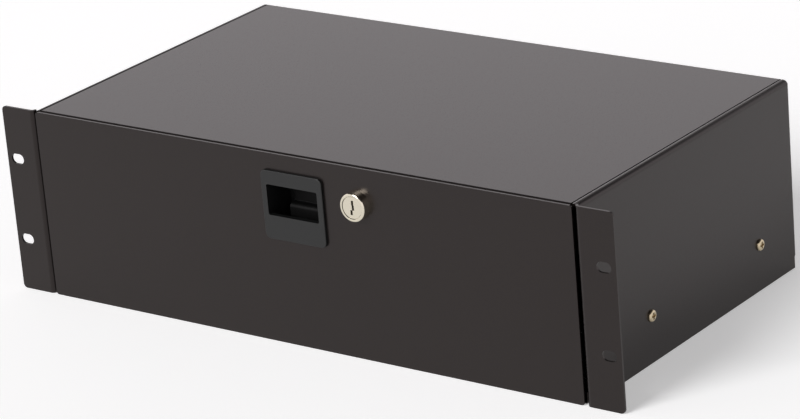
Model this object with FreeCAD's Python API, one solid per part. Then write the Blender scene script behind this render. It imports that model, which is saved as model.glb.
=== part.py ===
import FreeCAD, Part

import math
import os

from FreeCAD import Vector

# A lockable sliding drawer for a 19 inch rack, three units high.
#
# Frame: X runs across the panel, Y from the front to the back, Z up. The origin is the centre of the
# four slots in the rack ears, on the ears' back faces, which bear on the rack's rails.
# All lengths are in millimetres and all angles in degrees.

# ---- rack panel
PANEL_WIDTH = 482.6
PANEL_HEIGHT = 130.0
RACK_SLOT_SPACING_X = 465.1
RACK_SLOT_SPACING_Z = 57.15
RACK_SLOT_LENGTH = 10.5
RACK_SLOT_WIDTH = 7.0
EAR_CORNER_RADIUS = 3.0

# ---- case, folded from steel sheet and spot welded
EAR_WIDTH = 26.3
CASE_BELOW_EARS = 0.3
CASE_DEPTH = 250.0
SIDE_SHEET = 1.5
SIDE_BEND_INSIDE = 2.0
SIDE_FLANGE_WIDTH = 14.0
SIDE_RELIEF = 0.5
JOGGLE_FLAT = 0.5
JOGGLE_RUN = 0.8
REAR_FLANGE_END_GAP = 8.0
COVER_SHEET = 1.2
COVER_LIP_BEND_INSIDE = 0.6
COVER_EDGE_GAP = 0.7
MOUTH_SETBACK = 2.5
TOP_LIP_DROP = 3.0
PAN_SHEET = 1.2
PAN_BEND_INSIDE = 1.0
PAN_FLANGE_HEIGHT = 7.7
STRIKE_SHEET = 1.5
STRIKE_BEND_INSIDE = 0.8
STRIKE_DROP = 6.5
STRIKE_FOOT = 13.0
STRIKE_OVERHANG = 16.0

# ---- drawer: a tray behind a flat front plate
FRONT_TOP_GAP = 0.5
FRONT_SHEET = 1.5
FRONT_SIDE_GAP = 1.5
FRONT_CORNER_RADIUS = 2.0
FRONT_EDGE_BEVEL = 0.35
TRAY_SHEET = 1.2
TRAY_BEND_INSIDE = 1.0
TRAY_FLOOR_GAP = 4.7
TRAY_HEADROOM = 17.5
TRAY_FRONT_RISE = 10.0
TRAY_RIM_WIDTH = 8.0
TRAY_FLANGE = 12.0
TRAY_FLANGE_END_GAP = 2.5
SCREW_HOLE_GAP = 0.15

# ---- telescopic ball-bearing slides, three members a side
SLIDE_REAR_GAP = 9.3
SLIDE_SETBACK = 6.0
SLIDE_SPACE = 12.7
SLIDE_HEIGHT = 35.0
SLIDE_SHEET = 1.0
SLIDE_CENTRE_ABOVE_CASE = 31.3
BALL_RADIUS = 1.4
BALL_GAP = 0.05
BALLS_PER_ROW = 3
BALL_FACETS = 8
OUTER_BALL_ACROSS = 5.45
RACE_FLAT = 2.0
RACE_SLOPE = 0.9
RACE_STEP = 1.1
RACE_END = 0.5
CAGE_SHEET = 0.4
CAGE_LENGTH = 104.0
CAGE_GAP = 0.15
CAGE_POCKET_SIDES = 8
CAGE_BALL_GAP = 0.12
CAGE_BALL_MARGIN = 8.0
CAGE_FLANGE_PAST_BALL = 0.5
BUFFER_LENGTH = 3.7
BUFFER_GAP = 0.3
BUFFER_THICKNESS = 4.0
BUFFER_HEIGHT = 14.0
BUFFER_EDGE_BEVEL = 0.6
SLIDE_SCREW_FIRST = 66.5
SLIDE_SCREW_REAR_GAP = 35.5
SLIDE_SCREW_RADIUS = 2.0
SLIDE_HEAD_RADIUS = 3.9
SLIDE_HEAD_HEIGHT = 1.9
LOW_HEAD_HEIGHT = 1.2
SLIDE_HEAD_TOP = 0.7
SHANK_FACETS = 8
HEAD_FACETS = 12
RECESS_LENGTH = 4.4
RECESS_WIDTH = 1.1
RECESS_DEPTH = 1.0

# ---- recessed handle with its spring latch
HANDLE_X = 1.0
BEZEL_WIDTH = 48.2
BEZEL_HEIGHT = 46.5
BEZEL_BELOW_PANEL_TOP = 11.5
BEZEL_PROUD = 2.0
BEZEL_CORNER_RADIUS = 4.0
BEZEL_EDGE_BEVEL = 0.8
OPENING_HEIGHT = 20.7
OPENING_TOP_MARGIN = 9.5
OPENING_CORNER_RADIUS = 1.0
POCKET_WIDTH = 40.0
POCKET_HEIGHT = 33.0
POCKET_TOP_MARGIN = 7.5
POCKET_DEPTH = 20.0
POCKET_WALL = 1.5
LIP_BACKING = 1.7
CUTOUT_GAP = 0.2
SNAP_HEIGHT = 10.0
SNAP_PROUD = 1.2
SNAP_LENGTH = 4.0
PADDLE_WIDTH = 24.0
PADDLE_SHEET = 2.2
PADDLE_BEND_INSIDE = 0.5
PADDLE_PIN_RADIUS = 1.5
PADDLE_PIN_GAP = 0.08
PADDLE_HUB_RADIUS = 3.3
PADDLE_END_GAP = 0.3
PADDLE_PIN_DEPTH = 15.5
PADDLE_PIN_BELOW_ROOF = 5.0
PADDLE_DROP = 14.0
PADDLE_STEP = 5.9
PADDLE_GRIP = 7.3
PADDLE_TRAVEL = 22.0
ARM_LENGTH = 10.5
ARM_THICKNESS = 2.4
ARM_WIDTH = 8.0
ARM_NOSE_RADIUS = 1.8
ARM_SLOT_GAP = 0.3
ARM_WINDOW_GAP = 0.6
BOLT_WIDTH = 16.0
BOLT_THICKNESS = 6.4
BOLT_GAP = 0.3
BOLT_TIP_BELOW_ROOF = 3.4
BOLT_HEIGHT = 30.0
BOLT_RAMP = 4.4
BRACKET_SHEET = 1.2
BRACKET_BEND_INSIDE = 0.6
BRACKET_HEIGHT = 29.0
BRACKET_FOOT = 7.5
BRACKET_SCREW_RADIUS = 1.2
BRACKET_HEAD_RADIUS = 2.3
BRACKET_HEAD_HEIGHT = 1.4
SPRING_COIL_RADIUS = 2.1
SPRING_WIRE_RADIUS = 0.4
SPRING_TURNS = 4
SPRING_STEPS_PER_TURN = 8
WIRE_FACETS = 5

# ---- cam lock
LOCK_X = 51.2
LOCK_BELOW_PANEL_TOP = 25.0
LOCK_HEAD_RADIUS = 9.4
LOCK_HEAD_FLARE = 0.4
LOCK_HEAD_PROUD = 6.0
LOCK_HEAD_FACETS = 48
LOCK_RIM = 1.9
LOCK_FACE_RECESS = 0.4
LOCK_BODY_RADIUS = 8.0
LOCK_BODY_FLATS = 14.4
LOCK_BODY_LENGTH = 25.0
LOCK_HOLE_GAP = 0.15
PLUG_RADIUS = 5.5
PLUG_FACE_THICKNESS = 2.0
PLUG_GAP = 0.06
PLUG_STAND_OFF = 0.3
PLUG_TAIL_SIDE = 7.0
KEYWAY_HEIGHT = 9.6
KEYWAY_WIDTH = 1.6
KEYWAY_JOGS = (-0.6, 0.7, 0.4)
KEYWAY_DEPTH = 8.0
LOCK_NUT_HEIGHT = 3.5
LOCK_NUT_ACROSS_FLATS = 21.0
CAM_LENGTH = 20.5
CAM_WIDTH = 14.0
CAM_SHEET = 2.0
CAM_SCREW_RADIUS = 2.0
CAM_SCREW_DEPTH = 6.0
CAM_HEAD_ACROSS_FLATS = 7.0
CAM_HEAD_HEIGHT = 2.4

# A tool that cuts a hole runs this far past both of its faces.
THROUGH = 1.0

# ---- places that follow from the sizes above
RAIL_FACE = 0.0
EAR_FRONT = RAIL_FACE - SIDE_SHEET
CASE_HALF = PANEL_WIDTH / 2 - EAR_WIDTH
CASE_INNER_HALF = CASE_HALF - SIDE_SHEET
PANEL_TOP = PANEL_HEIGHT / 2
PANEL_BOTTOM = -PANEL_HEIGHT / 2
CASE_TOP = PANEL_TOP - CASE_BELOW_EARS
CASE_BOTTOM = PANEL_BOTTOM + CASE_BELOW_EARS
CASE_ROOF = CASE_TOP - COVER_SHEET
CASE_REAR = EAR_FRONT + CASE_DEPTH
REAR_INNER = CASE_REAR - COVER_SHEET
MOUTH = EAR_FRONT + MOUTH_SETBACK
SIDE_BEND_OUTSIDE = SIDE_BEND_INSIDE + SIDE_SHEET
EAR_FOLD_END = EAR_FRONT + SIDE_BEND_OUTSIDE
JOGGLE_HIGH = CASE_HALF - SIDE_BEND_OUTSIDE - JOGGLE_FLAT
JOGGLE_LOW = JOGGLE_HIGH - JOGGLE_RUN
COVER_HALF = JOGGLE_LOW - COVER_EDGE_GAP
COVER_BEND_INSIDE = SIDE_BEND_OUTSIDE - COVER_SHEET
PAN_TOP = CASE_BOTTOM + PAN_SHEET
FRONT_HALF = CASE_INNER_HALF - FRONT_SIDE_GAP
FRONT_BACK = EAR_FRONT + FRONT_SHEET
FRONT_TOP = PANEL_TOP - FRONT_TOP_GAP
TRAY_HALF = CASE_INNER_HALF - SLIDE_SPACE
TRAY_INNER_HALF = TRAY_HALF - TRAY_SHEET
TRAY_FRONT_INNER = FRONT_BACK + TRAY_SHEET
TRAY_BOTTOM = CASE_BOTTOM + TRAY_FLOOR_GAP
TRAY_TOP = CASE_ROOF - TRAY_HEADROOM
SLIDE_FRONT = SLIDE_SETBACK
SLIDE_REAR = REAR_INNER - SLIDE_REAR_GAP
SLIDE_Z = CASE_BOTTOM + SLIDE_CENTRE_ABOVE_CASE
TRAY_REAR = SLIDE_REAR
BEZEL_TOP = PANEL_TOP - BEZEL_BELOW_PANEL_TOP
BEZEL_BOTTOM = BEZEL_TOP - BEZEL_HEIGHT
BEZEL_FRONT = EAR_FRONT - BEZEL_PROUD
POCKET_TOP = BEZEL_TOP - POCKET_TOP_MARGIN
POCKET_BOTTOM = POCKET_TOP - POCKET_HEIGHT
POCKET_LEFT = HANDLE_X - POCKET_WIDTH / 2
POCKET_RIGHT = HANDLE_X + POCKET_WIDTH / 2
POCKET_BACK = POCKET_DEPTH + POCKET_WALL
OPENING_TOP = BEZEL_TOP - OPENING_TOP_MARGIN
OPENING_BOTTOM = OPENING_TOP - OPENING_HEIGHT
LIP_BACK = EAR_FRONT + LIP_BACKING
PIN_Y = PADDLE_PIN_DEPTH
PIN_Z = POCKET_TOP - PADDLE_PIN_BELOW_ROOF
BOLT_FRONT = POCKET_BACK + BOLT_GAP
BOLT_BACK = BOLT_FRONT + BOLT_THICKNESS
BOLT_TOP = CASE_ROOF - BOLT_TIP_BELOW_ROOF
BOLT_BOTTOM = BOLT_TOP - BOLT_HEIGHT
ARM_REST = PADDLE_TRAVEL / 2
ARM_NOSE_Y = PIN_Y + ARM_LENGTH * math.cos(math.radians(ARM_REST))
ARM_NOSE_Z = PIN_Z + ARM_LENGTH * math.sin(math.radians(ARM_REST))
BRACKET_BACK = BOLT_BACK + BOLT_GAP + BRACKET_SHEET
BRACKET_TOP = POCKET_TOP
BRACKET_BOTTOM = BRACKET_TOP - BRACKET_HEIGHT
STRIKE_BACK = BOLT_FRONT - BOLT_GAP
LOCK_Z = PANEL_TOP - LOCK_BELOW_PANEL_TOP
LOCK_FACE = EAR_FRONT - LOCK_HEAD_PROUD
LOCK_BODY_END = EAR_FRONT + LOCK_BODY_LENGTH
CAM_FRONT = LOCK_BODY_END + PLUG_STAND_OFF
CAM_BACK = CAM_FRONT + CAM_SHEET


# ---------------------------------------------------------------- shapes that repeat


def block(x, y, z):
    """A box from three (low, high) pairs."""
    return Part.makeBox(x[1] - x[0], y[1] - y[0], z[1] - z[0], Vector(x[0], y[0], z[0]))


def both_ways(half, middle=0.0):
    """The (low, high) pair of a length centred on a middle."""
    return (middle - half, middle + half)


def rod(radius, start, end):
    """A cylinder from one point to another."""
    axis = end - start
    return Part.makeCylinder(radius, axis.Length, start, axis)


def ring(centre, first, second, sides):
    """A closed polygon round a centre, spanned by two radii at right angles."""
    turns = [2 * math.pi * i / sides for i in range(sides)]
    points = [centre + first * math.cos(t) + second * math.sin(t) for t in turns]
    return Part.makePolygon(points + points[:1])


def faceted_cone(start, start_radius, end, end_radius, sides):
    """A level round piece with flat facets, straight or tapered."""
    across = (end - start).cross(Vector(0, 0, 1)).normalize()
    rims = [ring(start, across * start_radius, Vector(0, 0, start_radius), sides),
            ring(end, across * end_radius, Vector(0, 0, end_radius), sides)]
    return Part.makeLoft(rims, True, True)


def faceted_rod(radius, start, end):
    """A screw's shank, or the hole that it goes through."""
    return faceted_cone(start, radius, end, radius, SHANK_FACETS)


def hexagon(across_flats, start, height):
    """A hexagonal prism whose axis runs along +Y."""
    corner = across_flats / math.sqrt(3)
    outline = ring(start, Vector(corner, 0, 0), Vector(0, 0, corner), 6)
    return Part.Face(outline).extrude(Vector(0, height, 0))


def mirrored(shape):
    """The same piece for the left side."""
    return shape.mirror(Vector(), Vector(1, 0, 0))


def fused(shapes):
    """One clean solid from overlapping shapes."""
    return shapes[0].fuse(shapes[1:]).removeSplitter()


def rounded_path(corners, radii):
    """Edges of an open outline in the XY plane, with each inner corner rounded to its own radius."""
    edges = []
    here = corners[0]
    for i in range(1, len(corners) - 1):
        if not radii[i - 1]:
            edges.append(Part.LineSegment(here, corners[i]).toShape())
            here = corners[i]
            continue
        before = (corners[i] - corners[i - 1]).normalize()
        after = (corners[i + 1] - corners[i]).normalize()
        turn = before.x * after.y - before.y * after.x
        side = math.copysign(1, turn)
        radius = radii[i - 1]
        reach = radius * math.tan(before.getAngle(after) / 2)
        arc_start = corners[i] - before * reach
        arc_end = corners[i] + after * reach
        across = Vector(-before.y, before.x, 0) * side
        across_after = Vector(-after.y, after.x, 0) * side
        middle_way = (across + across_after).normalize()
        arc_middle = arc_start + across * radius - middle_way * radius
        edges.append(Part.LineSegment(here, arc_start).toShape())
        edges.append(Part.Arc(arc_start, arc_middle, arc_end).toShape())
        here = arc_end
    edges.append(Part.LineSegment(here, corners[-1]).toShape())
    return edges


def folded_sheet(path, sheet, bend_inside, length):
    """A strip of sheet metal folded along a mid-line in the XY plane, and extruded along +Z.

    The inside radius of its folds is one value, or one for each fold, where 0 is a sharp fold.
    """
    points = [Vector(a, b, 0) for a, b in path]
    bends = bend_inside if isinstance(bend_inside, tuple) else (bend_inside,) * (len(points) - 2)
    ways = [(q - p).normalize() for p, q in zip(points, points[1:])]
    normals = [Vector(-w.y, w.x, 0) for w in ways]
    sides = []
    for offset in (sheet / 2, -sheet / 2):
        corners = [points[0] + normals[0] * offset]
        radii = []
        for i in range(1, len(points) - 1):
            both = normals[i - 1] + normals[i]
            corners.append(points[i] + both * (offset / (1 + normals[i - 1].dot(normals[i]))))
            turn = ways[i - 1].x * ways[i].y - ways[i - 1].y * ways[i].x
            bend = bends[i - 1]
            radii.append(bend and bend + sheet / 2 - math.copysign(1, turn) * offset)
        corners.append(points[-1] + normals[-1] * offset)
        sides.append((corners, radii))
    edges = rounded_path(*sides[0]) + rounded_path(*sides[1])
    for end in (0, -1):
        edges.append(Part.LineSegment(sides[0][0][end], sides[1][0][end]).toShape())
    wire = Part.Wire(Part.__sortEdges__(edges))
    return Part.Face(wire).extrude(Vector(0, 0, length))


def strip_along_y(path, sheet, bend_inside, y):
    """A folded strip drawn as (x, z) points, running from y[0] to y[1]."""
    strip = folded_sheet(path, sheet, bend_inside, y[1] - y[0])
    strip.rotate(Vector(), Vector(1, 0, 0), 90)
    strip.translate(Vector(0, y[1], 0))
    return strip


def strip_along_x(path, sheet, bend_inside, x):
    """A folded strip drawn as (y, z) points, running from x[0] to x[1]."""
    strip = folded_sheet(path, sheet, bend_inside, x[1] - x[0])
    strip.rotate(Vector(), Vector(1, 1, 1), 120)
    strip.translate(Vector(x[0], 0, 0))
    return strip


def strip_along_z(path, sheet, bend_inside, z):
    """A folded strip drawn as (x, y) points, running from z[0] to z[1]."""
    strip = folded_sheet(path, sheet, bend_inside, z[1] - z[0])
    strip.translate(Vector(0, 0, z[0]))
    return strip


def round_edges(shape, radius, chosen):
    """Rounds the edges for which chosen(edge) is true."""
    return shape.makeFillet(radius, [edge for edge in shape.Edges if chosen(edge)])


def bevel_edges(shape, width, chosen):
    """Bevels the edges for which chosen(edge) is true."""
    return shape.makeChamfer(width, [edge for edge in shape.Edges if chosen(edge)])


def runs_along(edge, way):
    """True for a straight edge parallel to a direction."""
    straight = edge.Curve.TypeId == "Part::GeomLine"
    return straight and abs(edge.tangentAt(edge.FirstParameter).dot(way)) > 0.99


def lies_on_y(edge, y):
    """True for an edge that lies wholly in the plane at this y."""
    box = edge.BoundBox
    return abs(box.YMin - y) < 1e-3 and abs(box.YMax - y) < 1e-3


def cross_recess(tip, way, across):
    """A screwdriver's cross, sunk from the head's top at tip, along way."""
    other = way.cross(across)
    bars = []
    for a, b in ((across, other), (other, across)):
        bar = Part.makeBox(RECESS_LENGTH, RECESS_WIDTH, RECESS_DEPTH)
        bar.translate(Vector(-RECESS_LENGTH / 2, -RECESS_WIDTH / 2, 0))
        turn = FreeCAD.Rotation(a, b, way, "ZXY")
        bar.Placement = FreeCAD.Placement(tip, turn).multiply(bar.Placement)
        bars.append(bar)
    return fused(bars)


def screw(seat, way, length, head_height):
    """A slide screw: its shank runs from seat along way, and its faceted head tapers the other way."""
    top_radius = SLIDE_HEAD_RADIUS * SLIDE_HEAD_TOP
    head = faceted_cone(seat, SLIDE_HEAD_RADIUS, seat - way * head_height, top_radius, HEAD_FACETS)
    return fused([head, faceted_rod(SLIDE_SCREW_RADIUS, seat, seat + way * length)])


# ---------------------------------------------------------------- case


def rack_slots():
    """Cutters for the four slots in the ears."""
    straight = (RACK_SLOT_LENGTH - RACK_SLOT_WIDTH) / 2
    radius = RACK_SLOT_WIDTH / 2
    y = (EAR_FRONT - THROUGH, RAIL_FACE + THROUGH)
    cutters = []
    for x in (-RACK_SLOT_SPACING_X / 2, RACK_SLOT_SPACING_X / 2):
        for z in (-RACK_SLOT_SPACING_Z / 2, RACK_SLOT_SPACING_Z / 2):
            bars = [block(both_ways(straight, x), y, both_ways(radius, z))]
            for end in both_ways(straight, x):
                bars.append(rod(radius, Vector(end, y[0], z), Vector(end, y[1], z)))
            cutters.append(fused(bars))
    return cutters


def case_side():
    """The right side wall: an ear, and flanges at the top and rear, joggled to let the cover in flush."""
    wall = CASE_HALF - SIDE_SHEET / 2
    end = CASE_HALF - SIDE_FLANGE_WIDTH
    ear_y = EAR_FRONT + SIDE_SHEET / 2
    bends_start_z = CASE_TOP - SIDE_BEND_OUTSIDE
    bends_start_y = CASE_REAR - SIDE_BEND_OUTSIDE
    ear_back = EAR_FOLD_END + SIDE_FLANGE_WIDTH
    ear = strip_along_z([(PANEL_WIDTH / 2, ear_y), (wall, ear_y), (wall, ear_back)],
                        SIDE_SHEET, SIDE_BEND_INSIDE, both_ways(PANEL_HEIGHT / 2))
    outside = (CASE_INNER_HALF - THROUGH, CASE_HALF + THROUGH)
    behind = (EAR_FOLD_END, ear_back + THROUGH)
    ear = ear.cut(block(outside, behind, (bends_start_z, PANEL_HEIGHT)))
    ear = ear.cut(block(outside, behind, (-PANEL_HEIGHT, CASE_BOTTOM)))
    tip = PANEL_WIDTH / 2 - THROUGH
    ear = round_edges(ear, EAR_CORNER_RADIUS,
                      lambda e: runs_along(e, Vector(0, 1, 0)) and e.BoundBox.XMin > tip)
    high, low = CASE_TOP - SIDE_SHEET / 2, CASE_ROOF - SIDE_SHEET / 2
    bends = (0, 0, SIDE_BEND_INSIDE)
    top = strip_along_y([(end, low), (JOGGLE_LOW, low), (JOGGLE_HIGH, high), (wall, high),
                         (wall, CASE_BOTTOM)],
                        SIDE_SHEET, bends, (EAR_FOLD_END, REAR_INNER - SIDE_BEND_OUTSIDE))
    high, low = CASE_REAR - SIDE_SHEET / 2, REAR_INNER - SIDE_SHEET / 2
    rear = strip_along_z([(end, low), (JOGGLE_LOW, low), (JOGGLE_HIGH, high), (wall, high),
                          (wall, CASE_REAR - SIDE_FLANGE_WIDTH)],
                         SIDE_SHEET, bends, (CASE_BOTTOM + REAR_FLANGE_END_GAP, bends_start_z - SIDE_RELIEF))
    foot = block((CASE_INNER_HALF, CASE_HALF), (CASE_REAR - SIDE_FLANGE_WIDTH, bends_start_y),
                 (CASE_BOTTOM, bends_start_z))
    return fused([ear, top, rear, foot, closed_corner()]).cut(rack_slots() + outer_screw_holes())


def closed_corner():
    """The welded and ground corner where the wall meets its top and rear flanges."""
    shells = []
    for skin, radius in ((0, SIDE_BEND_OUTSIDE), (SIDE_SHEET, SIDE_BEND_INSIDE)):
        tip = Vector(CASE_HALF - skin, CASE_REAR - skin, CASE_TOP - skin)
        near = Vector(JOGGLE_HIGH - skin, REAR_INNER - SIDE_BEND_OUTSIDE - skin,
                      CASE_TOP - SIDE_BEND_OUTSIDE - SIDE_RELIEF - skin)
        corner = block((near.x, tip.x), (near.y, tip.y), (near.z, tip.z))
        shells.append(round_edges(corner, radius, lambda e: tip in [v.Point for v in e.Vertexes]))
    return shells[0].cut(shells[1])


def case_cover():
    """Top and rear in one sheet, with a stiffening lip at the mouth."""
    top = CASE_TOP - COVER_SHEET / 2
    lip = MOUTH + COVER_SHEET / 2
    rear = CASE_REAR - COVER_SHEET / 2
    path = [(lip, CASE_TOP - COVER_SHEET - TOP_LIP_DROP), (lip, top), (rear, top), (rear, CASE_BOTTOM)]
    bends = (COVER_LIP_BEND_INSIDE, COVER_BEND_INSIDE)
    cover = strip_along_x(path, COVER_SHEET, bends, both_ways(COVER_HALF))
    beside = (CASE_HALF - SIDE_FLANGE_WIDTH - SIDE_RELIEF, CASE_HALF)
    notch = block(beside, (MOUTH - THROUGH, MOUTH + COVER_SHEET + THROUGH), (0, CASE_ROOF))
    return cover.cut([notch, mirrored(notch)])


def case_pan():
    """The bottom sheet, with its sides turned up against the walls."""
    half = CASE_INNER_HALF - PAN_SHEET / 2
    low = CASE_BOTTOM + PAN_SHEET / 2
    high = CASE_BOTTOM + PAN_FLANGE_HEIGHT
    path = [(-half, high), (-half, low), (half, low), (half, high)]
    return strip_along_y(path, PAN_SHEET, PAN_BEND_INSIDE, (MOUTH, REAR_INNER))


def strike_angle():
    """The angle under the cover that the latch bolt and the lock's cam catch behind."""
    drop_y = STRIKE_BACK - STRIKE_SHEET / 2
    foot_z = CASE_ROOF - STRIKE_SHEET / 2
    x = (HANDLE_X - BOLT_WIDTH / 2 - STRIKE_OVERHANG, LOCK_X + CAM_WIDTH / 2 + STRIKE_OVERHANG)
    path = [(STRIKE_BACK - STRIKE_FOOT, foot_z), (drop_y, foot_z), (drop_y, CASE_ROOF - STRIKE_DROP)]
    return strip_along_x(path, STRIKE_SHEET, STRIKE_BEND_INSIDE, x)


# ---------------------------------------------------------------- slides
#
# Across a slide, u runs from the case's wall towards the tray; up it, v runs from the slide's middle.
# The outer member and the middle one face each other over one row of balls above and one below, and
# so do the middle and the inner one. Each race is a shallow trough rolled into a flange.

INNER_BALL_ACROSS = OUTER_BALL_ACROSS + RACE_FLAT + RACE_SLOPE
RACE_HALF = RACE_FLAT / 2 + RACE_SLOPE
BALL_STEP = SLIDE_SHEET / 2 + BALL_GAP + BALL_RADIUS
OUTER_RACE = SLIDE_HEIGHT / 2 - SLIDE_SHEET / 2
OUTER_BALL_V = OUTER_RACE - BALL_STEP
MIDDLE_RACE = OUTER_BALL_V - BALL_STEP
INNER_BALL_V = MIDDLE_RACE + RACE_STEP - BALL_STEP
INNER_RACE = INNER_BALL_V - BALL_STEP
OUTER_WEB = SLIDE_SHEET / 2
OUTER_CAGE_WEB = SLIDE_SHEET + CAGE_GAP + CAGE_SHEET / 2
MIDDLE_WEB = OUTER_CAGE_WEB + CAGE_SHEET / 2 + CAGE_GAP + SLIDE_SHEET / 2
INNER_CAGE_WEB = MIDDLE_WEB + SLIDE_SHEET / 2 + CAGE_GAP + CAGE_SHEET / 2
INNER_WEB = SLIDE_SPACE - SLIDE_SHEET / 2


def both_flanges(upper):
    """A symmetric member from its upper half, listed from the flange's end down to the web."""
    lower = [(u, -v) for u, v in reversed(upper)]
    return [(CASE_INNER_HALF - u, SLIDE_Z + v) for u, v in upper + lower]


def member(upper, sheet, y):
    """A rolled member of the right-hand slide."""
    return strip_along_y(both_flanges(upper), sheet, 0, y)


def slide_outer():
    """The member screwed to the case's wall."""
    shoulder = OUTER_RACE - RACE_STEP
    upper = [(OUTER_BALL_ACROSS + RACE_HALF + RACE_END, shoulder), (OUTER_BALL_ACROSS + RACE_HALF, shoulder),
             (OUTER_BALL_ACROSS + RACE_FLAT / 2, OUTER_RACE), (OUTER_BALL_ACROSS - RACE_FLAT / 2, OUTER_RACE),
             (OUTER_BALL_ACROSS - RACE_HALF, shoulder), (OUTER_WEB, shoulder)]
    return member(upper, SLIDE_SHEET, (SLIDE_FRONT, SLIDE_REAR)).cut(outer_screw_holes())


def slide_middle():
    """The member that runs between the two rows of balls."""
    shoulder = MIDDLE_RACE + RACE_STEP
    upper = [(INNER_BALL_ACROSS + RACE_HALF + RACE_END, MIDDLE_RACE),
             (INNER_BALL_ACROSS + RACE_HALF, MIDDLE_RACE),
             (INNER_BALL_ACROSS + RACE_FLAT / 2, shoulder), (INNER_BALL_ACROSS - RACE_FLAT / 2, shoulder),
             (OUTER_BALL_ACROSS + RACE_FLAT / 2, MIDDLE_RACE),
             (OUTER_BALL_ACROSS - RACE_FLAT / 2, MIDDLE_RACE),
             (OUTER_BALL_ACROSS - RACE_HALF, shoulder), (MIDDLE_WEB, shoulder)]
    return member(upper, SLIDE_SHEET, (SLIDE_FRONT, SLIDE_REAR - BUFFER_LENGTH - BUFFER_GAP))


def slide_inner():
    """The member screwed to the tray's side."""
    shoulder = INNER_RACE + RACE_STEP
    upper = [(INNER_BALL_ACROSS - RACE_HALF - RACE_END, shoulder), (INNER_BALL_ACROSS - RACE_HALF, shoulder),
             (INNER_BALL_ACROSS - RACE_FLAT / 2, INNER_RACE), (INNER_BALL_ACROSS + RACE_FLAT / 2, INNER_RACE),
             (INNER_BALL_ACROSS + RACE_HALF, shoulder), (INNER_WEB, shoulder)]
    return member(upper, SLIDE_SHEET, (SLIDE_FRONT, SLIDE_REAR)).cut(inner_screw_holes())


def ball_places(across, rise):
    """Centres of one cage's balls."""
    middle = (SLIDE_FRONT + SLIDE_REAR) / 2
    step = (CAGE_LENGTH - 2 * CAGE_BALL_MARGIN) / (BALLS_PER_ROW - 1)
    rows = [middle - CAGE_LENGTH / 2 + CAGE_BALL_MARGIN + step * i for i in range(BALLS_PER_ROW)]
    return [Vector(CASE_INNER_HALF - across, y, SLIDE_Z + v) for y in rows for v in (rise, -rise)]


def cage(web, across, rise):
    """A ball cage: a thin channel with a punched pocket for each ball."""
    end = across + BALL_RADIUS + CAGE_FLANGE_PAST_BALL
    middle = (SLIDE_FRONT + SLIDE_REAR) / 2
    channel = member([(end, rise), (web, rise)], CAGE_SHEET, both_ways(CAGE_LENGTH / 2, middle))
    reach = (BALL_RADIUS + CAGE_BALL_GAP) / math.cos(math.pi / CAGE_POCKET_SIDES)
    pockets = []
    for p in ball_places(across, rise):
        low = p - Vector(0, 0, CAGE_SHEET)
        outline = ring(low, Vector(reach, 0, 0), Vector(0, reach, 0), CAGE_POCKET_SIDES)
        pockets.append(Part.Face(outline).extrude(Vector(0, 0, 2 * CAGE_SHEET)))
    return channel.cut(pockets)


def ball(centre):
    """A ball, cut to flat facets all round its upright axis."""
    poles = [centre + Vector(0, 0, BALL_RADIUS * end) for end in (-1, 1)]
    faces = []
    rings = []
    for i in range(1, BALL_FACETS // 2):
        angle = 2 * math.pi * i / BALL_FACETS
        radius = BALL_RADIUS * math.sin(angle)
        level = centre - Vector(0, 0, BALL_RADIUS * math.cos(angle))
        rings.append([v.Point for v in ring(level, Vector(radius, 0, 0), Vector(0, radius, 0),
                                            BALL_FACETS).OrderedVertexes])
    for k in range(BALL_FACETS):
        j = (k + 1) % BALL_FACETS
        for low, high in zip(rings, rings[1:]):
            faces.append([low[k], low[j], high[j], high[k]])
        faces.append([poles[0], rings[0][j], rings[0][k]])
        faces.append([poles[1], rings[-1][k], rings[-1][j]])
    return Part.Solid(Part.Shell([Part.Face(Part.makePolygon(f + f[:1])) for f in faces]))


def balls(across, rise):
    """The balls of one cage."""
    return Part.makeCompound([ball(p) for p in ball_places(across, rise)])


def slide_buffer():
    """The rubber stop at the rear of an outer member."""
    face = CASE_INNER_HALF - SLIDE_SHEET
    pad = block((face - BUFFER_THICKNESS, face), (SLIDE_REAR - BUFFER_LENGTH, SLIDE_REAR),
                both_ways(BUFFER_HEIGHT / 2, SLIDE_Z))
    return bevel_edges(pad, BUFFER_EDGE_BEVEL, lambda e: runs_along(e, Vector(0, 1, 0))
                       and e.BoundBox.XMax < face)


def slide_screw_places(x):
    """Points on the slide's middle line where it is screwed down."""
    places = (SLIDE_FRONT + SLIDE_SCREW_FIRST, SLIDE_REAR - SLIDE_SCREW_REAR_GAP)
    return [Vector(x, y, SLIDE_Z) for y in places]


def screw_holes(x, reach):
    """Clearance holes along X."""
    out = Vector(reach, 0, 0)
    radius = SLIDE_SCREW_RADIUS + SCREW_HOLE_GAP
    return [faceted_rod(radius, p - out, p + out) for p in slide_screw_places(x)]


def outer_screw_holes():
    """Holes through the case's wall and the outer member."""
    return screw_holes(CASE_INNER_HALF, SIDE_SHEET + THROUGH)


def inner_screw_holes():
    """Holes through the tray's side and the inner member."""
    return screw_holes(TRAY_HALF, TRAY_SHEET + THROUGH)


def case_slide_screws():
    """Screws from outside the case into the outer members."""
    inward = Vector(-1, 0, 0)
    right = []
    for p in slide_screw_places(CASE_HALF):
        plain = screw(p, inward, SIDE_SHEET + SLIDE_SHEET, SLIDE_HEAD_HEIGHT)
        right.append(plain.cut(cross_recess(p - inward * SLIDE_HEAD_HEIGHT, inward, Vector(0, 0, 1))))
    return Part.makeCompound(right + [mirrored(s) for s in right])


def drawer_slide_screws():
    """Low screws from inside the tray into the inner members."""
    right = [screw(p, Vector(1, 0, 0), TRAY_SHEET + SLIDE_SHEET, LOW_HEAD_HEIGHT)
             for p in slide_screw_places(TRAY_INNER_HALF)]
    return Part.makeCompound(right + [mirrored(s) for s in right])


# ---------------------------------------------------------------- drawer


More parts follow.
